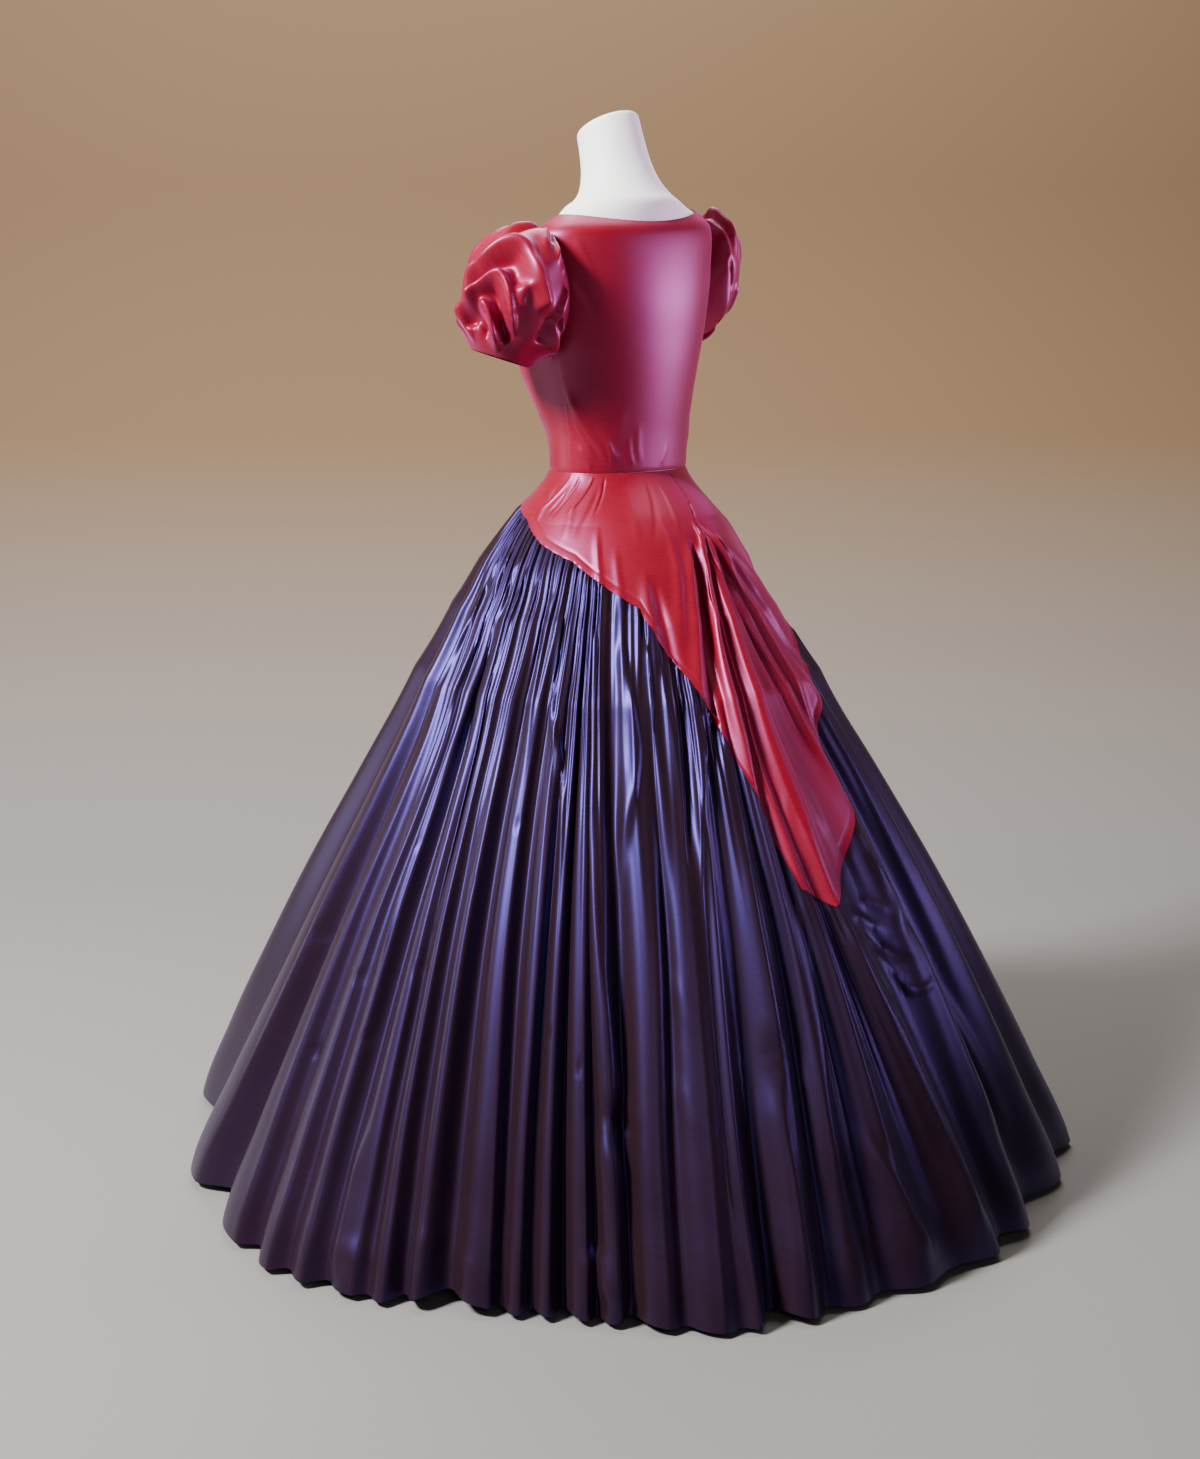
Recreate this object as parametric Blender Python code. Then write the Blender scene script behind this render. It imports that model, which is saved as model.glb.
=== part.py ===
"""A floor-length evening gown of shot taffeta, filled out on a white limbless dress form.

Metres, +Z up. The origin is on the floor under the form's pole. The gown's front faces -Y, its wearer's left is +X.
Every cloth piece is a thin wall whose outer face is worked out from rings (bodice, sleeves) or from a cone and its
folds (basque and skirt), so that pieces that are sewn together share one surface and part only by a hair at the seam.
"""

from collections import namedtuple
from math import atan2, cos, degrees, hypot, pi, radians, sin, sqrt

import bmesh
import bpy
from mathutils import Vector

# Driving sizes
WALL = 0.0015
SKIRT_WALL = 0.0020
SEAM_GAP = 0.0003
WAIST_HEIGHT = 1.050
HEM_HEIGHT = 0.008
FORM_CLEARANCE = 0.0020
SEAT_CLEARANCE = 0.0008
HIP_BOTTOM = 0.780
POLE_RADIUS = 0.0125
BASE_RADIUS = 0.170
BASE_THICKNESS = 0.012
BASE_EDGE = 0.003

# A bearing is an angle round the skirt seen from above: 0 at the gown's back-left quarter, 45 at its centre back,
# 135 at the wearer's right side, 225 at the centre front and -45 at the wearer's left side.
QUARTER = 45.0

RED_TAFFETA = (0.36, 0.010, 0.030, 1.0)
PURPLE_TAFFETA = (0.060, 0.040, 0.085, 1.0)
FORM_WHITE = (0.85, 0.85, 0.83, 1.0)

# Rings of the bodice, waist to neckline. Rises lift the ring at the middle of its front or back; square makes the
# front fuller at its corners than an ellipse.
Ring = namedtuple("Ring", "height side front back front_rise back_rise square")
BODICE_RINGS = (
    Ring(1.050, 0.113, 0.107, 0.070, 0.000, 0.000, 2.0),
    Ring(1.100, 0.114, 0.107, 0.074, 0.000, 0.000, 2.1),
    Ring(1.150, 0.121, 0.139, 0.080, 0.000, 0.000, 2.3),
    Ring(1.200, 0.131, 0.160, 0.086, 0.000, 0.000, 2.5),
    Ring(1.240, 0.141, 0.152, 0.090, 0.000, 0.000, 2.4),
    Ring(1.290, 0.150, 0.130, 0.094, 0.000, 0.000, 2.2),
    Ring(1.340, 0.157, 0.108, 0.093, 0.000, 0.000, 2.1),
    Ring(1.395, 0.159, 0.088, 0.087, -0.014, -0.006, 2.0),
    Ring(1.421, 0.124, 0.072, 0.078, -0.034, -0.015, 2.0),
)
# The right shoulder stands a little higher than the left: rise to the right for each metre of width.
SHOULDER_TILT = 0.055
UNDERARM_RING = 4
SHOULDER_RING = 7
NECKLINE_RING = 8
ARMHOLE_BACK = 21.0
ARMHOLE_FRONT = 27.0
ARMHOLE_STEPS = 8
SHOULDER_LINE_RINGS = (7.35, 7.70, NECKLINE_RING)
PANEL_COLUMNS = 20

# Rings of a sleeve, armhole to cuff, for the wearer's left: out from the body, forward, up, the ring's tilt down and
# turn to the front in degrees, and its half width and half height.
SleeveRing = namedtuple("SleeveRing", "out forward up drop turn width height")
LEFT_SLEEVE = (
    SleeveRing(0.166, 0.000, 1.311, 0, 3, 0.047, 0.076),
    SleeveRing(0.175, 0.003, 1.309, 8, 7, 0.060, 0.083),
    SleeveRing(0.189, 0.010, 1.298, 22, 12, 0.070, 0.088),
    SleeveRing(0.201, 0.020, 1.281, 38, 20, 0.070, 0.084),
    SleeveRing(0.208, 0.029, 1.258, 54, 26, 0.065, 0.070),
    SleeveRing(0.210, 0.036, 1.233, 66, 30, 0.056, 0.055),
    SleeveRing(0.207, 0.040, 1.214, 72, 32, 0.048, 0.045),
)
RIGHT_SLEEVE = (
    SleeveRing(0.168, 0.000, 1.325, 0, 3, 0.048, 0.081),
    SleeveRing(0.178, 0.004, 1.330, 8, 7, 0.050, 0.092),
    SleeveRing(0.190, 0.015, 1.322, 22, 13, 0.052, 0.093),
    SleeveRing(0.200, 0.030, 1.308, 38, 20, 0.052, 0.085),
    SleeveRing(0.206, 0.043, 1.290, 54, 26, 0.048, 0.071),
    SleeveRing(0.207, 0.052, 1.271, 66, 30, 0.043, 0.057),
    SleeveRing(0.202, 0.056, 1.255, 72, 32, 0.038, 0.045),
)
SLEEVE_COLUMNS = 32
SLEEVE_SEAT = 0.0005

# A sleeve's folds: angle round the ring at the armhole and at the cuff (0 back, 90 top), ridge height, half width.
SleeveFold = namedtuple("SleeveFold", "start end ridge spread")
LEFT_SLEEVE_FOLDS = (
    SleeveFold(8, -20, 0.007, 13),
    SleeveFold(38, 12, 0.009, 14),
    SleeveFold(68, 50, 0.010, 14),
    SleeveFold(100, 95, 0.008, 13),
    SleeveFold(136, 140, 0.009, 14),
    SleeveFold(176, 185, 0.007, 13),
    SleeveFold(-40, -62, 0.008, 14),
    SleeveFold(-78, -100, 0.006, 13),
)
RIGHT_SLEEVE_FOLDS = (
    SleeveFold(15, 5, 0.005, 13),
    SleeveFold(48, 40, 0.007, 14),
    SleeveFold(80, 78, 0.006, 13),
    SleeveFold(112, 118, 0.007, 14),
    SleeveFold(150, 160, 0.006, 13),
    SleeveFold(-25, -40, 0.005, 13),
    SleeveFold(-70, -84, 0.005, 13),
)

# The skirt's outline, waist to hem: height, radius of a round ring, and how far it stands off to the front-left.
Cone = namedtuple("Cone", "height radius lean")
SKIRT_CONE = (
    Cone(1.05, 0.104, 0.000),
    Cone(0.98, 0.157, 0.008),
    Cone(0.92, 0.200, 0.012),
    Cone(0.85, 0.243, 0.013),
    Cone(0.75, 0.306, 0.010),
    Cone(0.60, 0.393, 0.005),
    Cone(0.45, 0.480, 0.002),
    Cone(0.30, 0.560, 0.000),
    Cone(0.15, 0.636, 0.000),
    Cone(0.00, 0.703, 0.000),
)
WAIST_SHAPE_DEPTH = 0.100

# The slanting seam between red basque and purple skirt, once round: bearing and height.
BASQUE_SEAM = (
    (-90, 1.000),
    (-59, 0.982),
    (-39, 0.952),
    (-21, 0.932),
    (-9, 0.906),
    (6, 0.872),
    (14, 0.812),
    (21, 0.766),
    (27, 0.690),
    (31, 0.600),
    (34, 0.506),
    (40, 0.476),
    (47, 0.520),
    (55, 0.570),
    (64, 0.690),
    (69, 0.722),
    (85, 0.805),
    (101, 0.885),
    (130, 0.900),
    (180, 0.930),
    (225, 0.968),
    (270, 1.000),
)

# Folds of the skirt, a ridge a row. Its bearings are at these heights, waist to hem. The trough after it begins at a
# height (or AT_SEAM, where the cloth is gathered) and reaches its depth at the hem; the ridge stands in by inset.
FOLD_HEIGHTS = (0.98, 0.88, 0.68, 0.45, 0.22, 0.00)
AT_SEAM = None
TACK_HEIGHT = 0.984
Fold = namedtuple("Fold", "bearings begins depth inset")
SEEN_FOLDS = (
    Fold((-88, -88, -89, -92, -97, -102), AT_SEAM, 0.062, -0.010),
    Fold((-77, -72, -66, -65, -67, -70.5), AT_SEAM, 0.055, 0.026),
    Fold((-68, -62, -54, -53, -52.5, -51.5), AT_SEAM, 0.026, 0.011),
    Fold((-61, -54, -47, -46, -44.5, -43.5), AT_SEAM, 0.018, 0.000),
    Fold((-55, -50, -43, -41, -39.5, -38), AT_SEAM, 0.040, 0.003),
    Fold((-48, -44, -38, -35, -33, -31.5), AT_SEAM, 0.022, 0.016),
    Fold((-42, -38, -34, -31.5, -29.5, -27.5), AT_SEAM, 0.024, 0.022),
    Fold((-35, -31, -29, -27, -25, -23.5), AT_SEAM, 0.044, 0.030),
    Fold((-23, -22, -21.5, -19.5, -17, -15.5), AT_SEAM, 0.032, 0.050),
    Fold((-17, -16.5, -15.5, -14, -13, -12), AT_SEAM, 0.026, 0.054),
    Fold((-14, -13, -11.5, -10.5, -9.5, -8.5), AT_SEAM, 0.030, 0.054),
    Fold((-11, -10.5, -8.5, -6.5, -5, -4), AT_SEAM, 0.020, 0.050),
    Fold((-8, -7.5, -5, -3, -1.5, -0.5), AT_SEAM, 0.040, 0.044),
    Fold((8, 5, 4, 5, 4.5, 5), AT_SEAM, 0.030, 0.026),
    Fold((22, 15, 13, 11.5, 11, 11), AT_SEAM, 0.016, 0.010),
    Fold((28, 20, 18, 15.5, 14.5, 15), AT_SEAM, 0.034, 0.011),
    Fold((36, 29, 25, 24, 22.5, 21), 0.900, 0.030, 0.012),
    Fold((41, 35, 30.5, 30, 28.5, 28), TACK_HEIGHT, 0.026, 0.026),
    Fold((42, 38, 34, 35, 36, 37), TACK_HEIGHT, 0.024, 0.018),
    Fold((43, 41.5, 38, 41, 45, 49), TACK_HEIGHT, 0.024, 0.010),
    Fold((44, 50, 55, 56.5, 57, 57), TACK_HEIGHT, 0.056, 0.014),
    Fold((46, 62, 69.5, 71, 72, 73.5), TACK_HEIGHT, 0.034, 0.015),
    Fold((52, 84, 86, 86, 86, 85.5), TACK_HEIGHT, 0.036, -0.002),
)
# The folds that the picture doesn't show: bearing at the hem, how far the top wanders, depth and inset.
HiddenFold = namedtuple("HiddenFold", "bearing wander depth inset")
HIDDEN_FOLDS = (
    HiddenFold(98, 6, 0.040, 0.006),
    HiddenFold(108, 4, 0.034, 0.012),
    HiddenFold(117, 3, 0.046, 0.004),
    HiddenFold(127, 1, 0.030, 0.012),
    HiddenFold(135, 0, 0.036, 0.006),
    HiddenFold(145, -1, 0.048, 0.002),
    HiddenFold(155, -2, 0.030, 0.012),
    HiddenFold(163, -1, 0.038, 0.008),
    HiddenFold(172, 0, 0.044, 0.002),
    HiddenFold(181, 1, 0.028, 0.012),
    HiddenFold(189, 2, 0.036, 0.006),
    HiddenFold(198, 3, 0.042, 0.002),
    HiddenFold(207, 3, 0.030, 0.010),
    HiddenFold(215, 2, 0.040, 0.004),
    HiddenFold(224, 2, 0.034, 0.008),
    HiddenFold(232, 2, 0.044, 0.002),
    HiddenFold(240, 4, 0.032, 0.010),
    HiddenFold(248, 7, 0.044, 0.000),
)
FOLD_GROWTH = 0.75
GATHER_DEPTH = 0.004
GATHER_LENGTH = 0.140
GATHER_HOLD = 0.7
COLUMNS_PER_FOLD = 4
BASQUE_ROWS = 5
SKIRT_ROWS = 8
SKIRT_PANELS = 8

# The seams of the basque, as fold numbers counted from the first ridge: the left one stands just ahead of the left
# side, the back one drops from the tack in the trough of a pleat, the right one is at the right side.
BASQUE_SEAMS = {"left": -0.5, "back": 19.5, "right": 27.5}

# The form below the waist and above the neckline: height, centre forward, half width, half depth, and the slope of
# the ring down to the front.
FormRing = namedtuple("FormRing", "height forward side depth slope")
HIP_RINGS = (
    FormRing(HIP_BOTTOM, 0.006, 0.140, 0.108, 0.0),
    FormRing(0.800, 0.006, 0.147, 0.116, 0.0),
    FormRing(0.870, 0.006, 0.150, 0.120, 0.0),
    FormRing(0.940, 0.009, 0.143, 0.114, 0.0),
    FormRing(1.000, 0.015, 0.124, 0.097, 0.0),
)
NECK_RINGS = (
    FormRing(1.428, 0.000, 0.098, 0.072, 0.08),
    FormRing(1.440, 0.004, 0.077, 0.064, 0.14),
    FormRing(1.457, 0.010, 0.060, 0.057, 0.20),
    FormRing(1.485, 0.018, 0.050, 0.050, 0.28),
    FormRing(1.520, 0.028, 0.045, 0.047, 0.36),
    FormRing(1.540, 0.034, 0.043, 0.046, 0.40),
    FormRing(1.545, 0.035, 0.038, 0.041, 0.40),
)
FORM_COLUMNS = 2 * PANEL_COLUMNS
# The bodice lies on the form at the ring above its waist and along its shoulders and neckline.
SEAT_RINGS = (1, *SHOULDER_LINE_RINGS[1:])


def between(knots, place):
    """A smooth curve through equally spaced values, read at a place counted in knots (Catmull-Rom)."""
    last = len(knots) - 1
    start = min(max(int(place), 0), last - 1)
    t = place - start
    before = knots[max(start - 1, 0)]
    a = knots[start]
    b = knots[start + 1]
    after = knots[min(start + 2, last)]
    slope_a = (b - before) / 2
    slope_b = (after - a) / 2
    return (
        a * (1 + 2 * t) * (1 - t) ** 2
        + slope_a * t * (1 - t) ** 2
        + b * t * t * (3 - 2 * t)
        + slope_b * t * t * (t - 1)
    )


def place_of(levels, value):
    """Where a value lies among falling or rising levels, counted in levels."""
    rising = levels[-1] > levels[0]
    for i in range(len(levels) - 1):
        inside = value <= levels[i + 1] if rising else value >= levels[i + 1]
        if inside or i == len(levels) - 2:
            return i + (value - levels[i]) / (levels[i + 1] - levels[i])
    return 0.0


def column(table, name):
    return [getattr(row, name) for row in table]


def ellipse(angle, side, forward_reach, back_reach, square=2.0):
    """A point round an upright body, 0 at the wearer's left and 90 at the back, as x and y."""
    c = cos(radians(angle))
    s = sin(radians(angle))
    power = 2 / square if s < 0 else 1.0
    x = side * (1 if c >= 0 else -1) * abs(c) ** power
    y = back_reach * s if s >= 0 else -forward_reach * abs(s) ** power
    return x, y


def bodice_point(angle, ring):
    """The bodice's outer face at an angle round the body and a ring counted up from the waist."""
    values = {name: between(column(BODICE_RINGS, name), ring) for name in Ring._fields}
    x, y = ellipse(angle, values["side"], values["front"], values["back"], values["square"])
    rise = values["back_rise"] if y > 0 else values["front_rise"]
    tilt = -SHOULDER_TILT * x * min(max(ring / NECKLINE_RING, 0.0), 1.0) ** 2
    return Vector((x, y, values["height"] + rise * sin(radians(angle)) ** 2 + tilt))


def outward(surface, across, up, step_across, step_up):
    """The outward normal of a surface given by two numbers, from its neighbours on each side."""
    along = surface(across + step_across, up) - surface(across - step_across, up)
    upward = surface(across, up + step_up) - surface(across, up - step_up)
    return along.cross(upward).normalized()


def bodice_normal(angle, ring):
    ring = min(max(ring, 0.05), NECKLINE_RING - 0.05)
    return outward(bodice_point, angle, ring, 4.0, 0.05)


def wall_object(name, outer, inner, material, round_piece=False):
    """A thin closed wall between two grids of points, rows upward and columns round the body."""
    mesh = bmesh.new()
    rows = len(outer)
    columns = len(outer[0])
    faces = [[mesh.verts.new(p) for p in row] for row in outer]
    backs = [[mesh.verts.new(p) for p in row] for row in inner]
    spans = columns if round_piece else columns - 1

    def patch(a, b, c, d):
        mesh.faces.new((a, b, c))
        mesh.faces.new((a, c, d))

    for j in range(spans):
        k = (j + 1) % columns
        for i in range(rows - 1):
            patch(faces[i][j], faces[i][k], faces[i + 1][k], faces[i + 1][j])
            mesh.faces.new((backs[i][j], backs[i + 1][k], backs[i][k]))
            mesh.faces.new((backs[i][j], backs[i + 1][j], backs[i + 1][k]))
        patch(backs[0][j], backs[0][k], faces[0][k], faces[0][j])
        patch(faces[-1][j], faces[-1][k], backs[-1][k], backs[-1][j])
    if not round_piece:
        for i in range(rows - 1):
            patch(faces[i][0], faces[i + 1][0], backs[i + 1][0], backs[i][0])
            patch(backs[i][-1], backs[i + 1][-1], faces[i + 1][-1], faces[i][-1])
    return add_object(name, mesh, material)


def add_object(name, mesh, material):
    data = bpy.data.meshes.new(name)
    mesh.to_mesh(data)
    mesh.free()
    data.shade_smooth()
    data.set_sharp_from_angle(angle=radians(50))
    data.materials.append(material)
    made = bpy.data.objects.new(name, data)
    bpy.context.scene.collection.objects.link(made)
    return made


def principled(name, colour, roughness, metallic=0.0):
    material = bpy.data.materials.new(name)
    material.use_nodes = True
    shader = material.node_tree.nodes["Principled BSDF"]
    shader.inputs["Base Color"].default_value = colour
    shader.inputs["Roughness"].default_value = roughness
    shader.inputs["Metallic"].default_value = metallic
    return material


def armhole_half_width(ring, widest):
    """How far the armhole reaches round from the side at a ring, in degrees."""
    middle = (UNDERARM_RING + SHOULDER_RING) / 2
    half = (SHOULDER_RING - UNDERARM_RING) / 2
    share = min(abs(ring - middle) / half, 1.0)
    return widest * sqrt(1 - share * share)


def armhole_rings():
    """The rings at which the bodice is cut, closer together beside the armhole."""
    middle = (UNDERARM_RING + SHOULDER_RING) / 2
    half = (SHOULDER_RING - UNDERARM_RING) / 2
    turns = [-90 + 180 * i / ARMHOLE_STEPS for i in range(ARMHOLE_STEPS + 1)]
    beside = [middle + half * sin(radians(turn)) for turn in turns]
    return list(range(UNDERARM_RING)) + beside + list(SHOULDER_LINE_RINGS)


def build_bodice_panel(name, material, is_back):
    """The front or the back, side seam to side seam, cut away at both armholes."""
    widest = ARMHOLE_BACK if is_back else ARMHOLE_FRONT
    start = 0.0 if is_back else 180.0
    outer = []
    inner = []
    for ring in armhole_rings():
        cut = armhole_half_width(ring, widest)
        outer_row = []
        inner_row = []
        for i in range(PANEL_COLUMNS + 1):
            angle = start + cut + (180 - 2 * cut) * i / PANEL_COLUMNS
            point = bodice_point(angle, ring)
            normal = bodice_normal(angle, ring)
            if i in (0, PANEL_COLUMNS) and cut < 1.0:
                away = 1 if is_back else -1
                point = point + Vector((0, away * SEAM_GAP / 2, 0))
            outer_row.append(point)
            inner_row.append(point - normal * WALL)
        outer.append(outer_row)
        inner.append(inner_row)
    return wall_object(name, outer, inner, material)


def armhole_edge(side):
    """The armhole of one side as the bodice's panels leave it, at the sleeve's columns: 0 back, 90 top."""
    middle = (UNDERARM_RING + SHOULDER_RING) / 2
    half = (SHOULDER_RING - UNDERARM_RING) / 2
    corners = []
    for i in range(2 * ARMHOLE_STEPS):
        turn = 180 * i / ARMHOLE_STEPS
        widest = ARMHOLE_BACK if cos(radians(turn)) > 0 else ARMHOLE_FRONT
        angle = widest * cos(radians(turn))
        ring = middle + half * sin(radians(turn))
        corners.append((bodice_point(angle, ring), bodice_normal(angle, ring)))
    per_corner = SLEEVE_COLUMNS // len(corners)
    edge = []
    for i, (point, normal) in enumerate(corners):
        next_point, next_normal = corners[(i + 1) % len(corners)]
        for j in range(per_corner):
            here = point.lerp(next_point, j / per_corner)
            facing = normal.lerp(next_normal, j / per_corner).normalized()
            edge.append((Vector((side * here.x, *here.yz)), Vector((side * facing.x, *facing.yz))))
    return edge


def fold_height(folds, angle, share):
    """How far a sleeve's folds lift it, at an angle round the ring and a share of the way to the cuff."""
    lift = 0.0
    for fold in folds:
        ridge = fold.start + (fold.end - fold.start) * share
        away = (angle - ridge + 180) % 360 - 180
        lift += fold.ridge * 2.0 ** (-((away / fold.spread) ** 2))
    return lift * sin(pi * min(0.15 + 0.85 * share, 1.0))


def build_sleeve(name, material, side, rings, folds):
    """A draped puff, a tube from the armhole out and down to the cuff. side is 1 for the wearer's left, -1 right."""
    edge = armhole_edge(side)
    middle = sum((point for point, _ in edge), Vector()) / len(edge)
    outer = [[]]
    inner = [[]]
    for point, facing in edge:
        away = (point - middle) - facing * (point - middle).dot(facing)
        seat = point + facing * SLEEVE_SEAT
        inner[0].append(seat)
        outer[0].append(seat + away.normalized() * WALL)
    for i, ring in enumerate(rings):
        share = (i + 1) / len(rings)
        drop = radians(ring.drop)
        turn = radians(ring.turn)
        axis = Vector((side * cos(drop) * cos(turn), -cos(drop) * sin(turn), -sin(drop)))
        backward = Vector((side * sin(turn), cos(turn), 0))
        upward = axis.cross(backward) * side
        centre = Vector((side * ring.out, -ring.forward, ring.up))
        outer_row = []
        inner_row = []
        for j in range(SLEEVE_COLUMNS):
            angle = 360 * j / SLEEVE_COLUMNS
            lift = fold_height(folds, angle, share)
            reach = backward * cos(radians(angle)) * ring.width + upward * sin(radians(angle)) * ring.height
            direction = reach.normalized()
            outer_row.append(centre + reach + direction * lift)
            inner_row.append(centre + reach + direction * (lift - WALL))
        outer.append(outer_row)
        inner.append(inner_row)
    # The rows of a wall run outward from the body here, so its columns are turned to keep the faces outward.
    if side < 0:
        outer = [row[::-1] for row in outer]
        inner = [row[::-1] for row in inner]
    return wall_object(name, outer, inner, material, round_piece=True)


def all_folds():
    """Every ridge once round, in order of bearing."""
    hidden = []
    for fold in HIDDEN_FOLDS:
        shares = [height / FOLD_HEIGHTS[0] for height in FOLD_HEIGHTS]
        bearings = tuple(fold.bearing + fold.wander * share for share in shares)
        hidden.append(Fold(bearings, AT_SEAM, fold.depth, fold.inset))
    return SEEN_FOLDS + tuple(hidden)


FOLDS = all_folds()


def ridge_bearing(number, height):
    """The bearing of a ridge at a height; numbers past either end go on round the skirt."""
    turns, index = divmod(number, len(FOLDS))
    place = place_of(FOLD_HEIGHTS, min(max(height, 0.0), FOLD_HEIGHTS[0]))
    return 360.0 * turns + between(FOLDS[index].bearings, place)


def seam_height_at(bearing):
    """The height of the basque's slanting seam at a bearing."""
    turned = (bearing + 90) % 360 - 90
    bearings = [row[0] for row in BASQUE_SEAM]
    place = place_of(bearings, turned)
    start = min(int(place), len(BASQUE_SEAM) - 2)
    low = BASQUE_SEAM[start][1]
    return low + (BASQUE_SEAM[start + 1][1] - low) * (place - start)


def waist_reach(bearing):
    """The radius of the bodice's waist ring at a bearing."""
    waist = BODICE_RINGS[0]
    angle = radians(bearing + QUARTER)
    depth = waist.back if sin(angle) > 0 else waist.front
    return 1 / hypot(cos(angle) / waist.side, sin(angle) / depth)


def smooth_cone(bearing, height):
    """The skirt's radius at a bearing and height before any fold."""
    place = place_of(column(SKIRT_CONE, "height"), min(max(height, 0.0), WAIST_HEIGHT))
    radius = between(column(SKIRT_CONE, "radius"), place)
    lean = between(column(SKIRT_CONE, "lean"), place)
    radius -= lean * sin(radians(bearing))
    near_waist = max(0.0, 1 - (WAIST_HEIGHT - height) / WAIST_SHAPE_DEPTH)
    if near_waist > 0:
        radius += (waist_reach(bearing) - SKIRT_CONE[0].radius) * min(near_waist, 1.0) ** 2
    return radius


def fold_start(number, bearing):
    begins = FOLDS[number % len(FOLDS)].begins
    return seam_height_at(bearing) if begins is AT_SEAM else begins


def trough_depth(number, share, bearing, height):
    """How deep the cloth lies behind its ridges, a share of the way from one ridge to the next."""
    fold = FOLDS[number % len(FOLDS)]
    start = fold_start(number, bearing)
    below = start - height
    if below < 0:
        return 0.0
    single = (1 - cos(2 * pi * share)) / 2
    double = (1 - cos(4 * pi * share)) / 2
    grown = fold.depth * min(below / start, 1.0) ** FOLD_GROWTH
    if fold.begins is not AT_SEAM:
        return grown * single
    gathered = max(0.0, 1 - below / GATHER_LENGTH)
    return GATHER_DEPTH * gathered * double + grown * (1 - GATHER_HOLD * gathered) * single


def skirt_point(fold_number, height):
    """The outer face of basque and skirt, at a ridge number with the share of the way to the next, and a height."""
    number = int(fold_number // 1)
    share = fold_number - number
    first = ridge_bearing(number, height)
    second = ridge_bearing(number + 1, height)
    bearing = first + (second - first) * share
    here = FOLDS[number % len(FOLDS)]
    following = FOLDS[(number + 1) % len(FOLDS)]
    inset = here.inset + (following.inset - here.inset) * share
    below = max(0.0, fold_start(number, bearing) - height)
    radius = smooth_cone(bearing, height) - inset * (below / fold_start(number, bearing)) ** 2
    radius -= trough_depth(number, share, bearing, height)
    turn = radians(bearing + QUARTER)
    return Vector((radius * cos(turn), radius * sin(turn), height))


def skirt_normal(fold_number, height):
    return outward(skirt_point, fold_number, height, 1 / COLUMNS_PER_FOLD, 0.01)


def seam_height(fold_number):
    """Where a column of the skirt's cloth meets the slanting seam, found by halving."""
    high = WAIST_HEIGHT
    low = HEM_HEIGHT
    for _ in range(30):
        height = (high + low) / 2
        point = skirt_point(fold_number, height)
        bearing = degrees(atan2(point.y, point.x)) - QUARTER
        if height > seam_height_at(bearing):
            high = height
        else:
            low = height
    return (high + low) / 2


def skirt_wall(name, material, first, last, top_of, bottom_of, rows, seam_row):
    """One piece of basque or skirt between two columns, its ends drawn in by half a seam gap.

    The wall is square to the cloth, but level along the slanting seam, where gathers meet the plain basque."""
    count = round((last - first) * COLUMNS_PER_FOLD)
    columns = [first + i / COLUMNS_PER_FOLD for i in range(count + 1)]
    outer = []
    inner = []
    for i in range(rows):
        outer_row = []
        inner_row = []
        for j, fold_number in enumerate(columns):
            top = top_of(fold_number)
            bottom = bottom_of(fold_number)
            height = bottom + (top - bottom) * i / (rows - 1)
            point = skirt_point(fold_number, height)
            normal = skirt_normal(fold_number, height)
            if i == seam_row:
                normal = Vector((point.x, point.y, 0)).normalized()
            if j in (0, count):
                along = normal.cross(Vector((0, 0, 1))).normalized()
                point = point + along * (SEAM_GAP / 2) * (-1 if j == 0 else 1)
            outer_row.append(point)
            inner_row.append(point - normal * SKIRT_WALL)
        outer.append(outer_row)
        inner.append(inner_row)
    return wall_object(name, outer, inner, material)


def build_basque(material):
    """The red basque: waist to the slanting seam, in a front and two backs."""
    seams = BASQUE_SEAMS
    spans = {
        "basque_back_left": (seams["left"], seams["back"]),
        "basque_back_right": (seams["back"], seams["right"]),
        "basque_front": (seams["right"], seams["left"] + len(FOLDS)),
    }
    for name, (first, last) in spans.items():
        skirt_wall(
            name,
            material,
            first,
            last,
            lambda number: WAIST_HEIGHT - SEAM_GAP,
            lambda number: seam_height(number) + SEAM_GAP,
            BASQUE_ROWS,
            seam_row=0,
        )


def build_skirt(material):
    """The purple skirt: lengths of taffeta seamed in the troughs, gathered to the basque."""
    edges = [round(i * len(FOLDS) / SKIRT_PANELS) - 0.5 for i in range(SKIRT_PANELS + 1)]
    for i in range(SKIRT_PANELS):
        skirt_wall(
            f"skirt_panel_{i + 1}",
            material,
            edges[i],
            edges[i + 1],
            lambda number: seam_height(number) - SEAM_GAP,
            lambda number: HEM_HEIGHT,
            SKIRT_ROWS,
            seam_row=SKIRT_ROWS - 1,
        )


def form_ring(ring):
    """One ring of the form's hips or neck."""
    points = []
    for i in range(FORM_COLUMNS):
        x, y = ellipse(360 * i / FORM_COLUMNS, ring.side, ring.depth, ring.depth)
        points.append(Vector((x, y - ring.forward, ring.height + ring.slope * y)))
    return points


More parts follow.
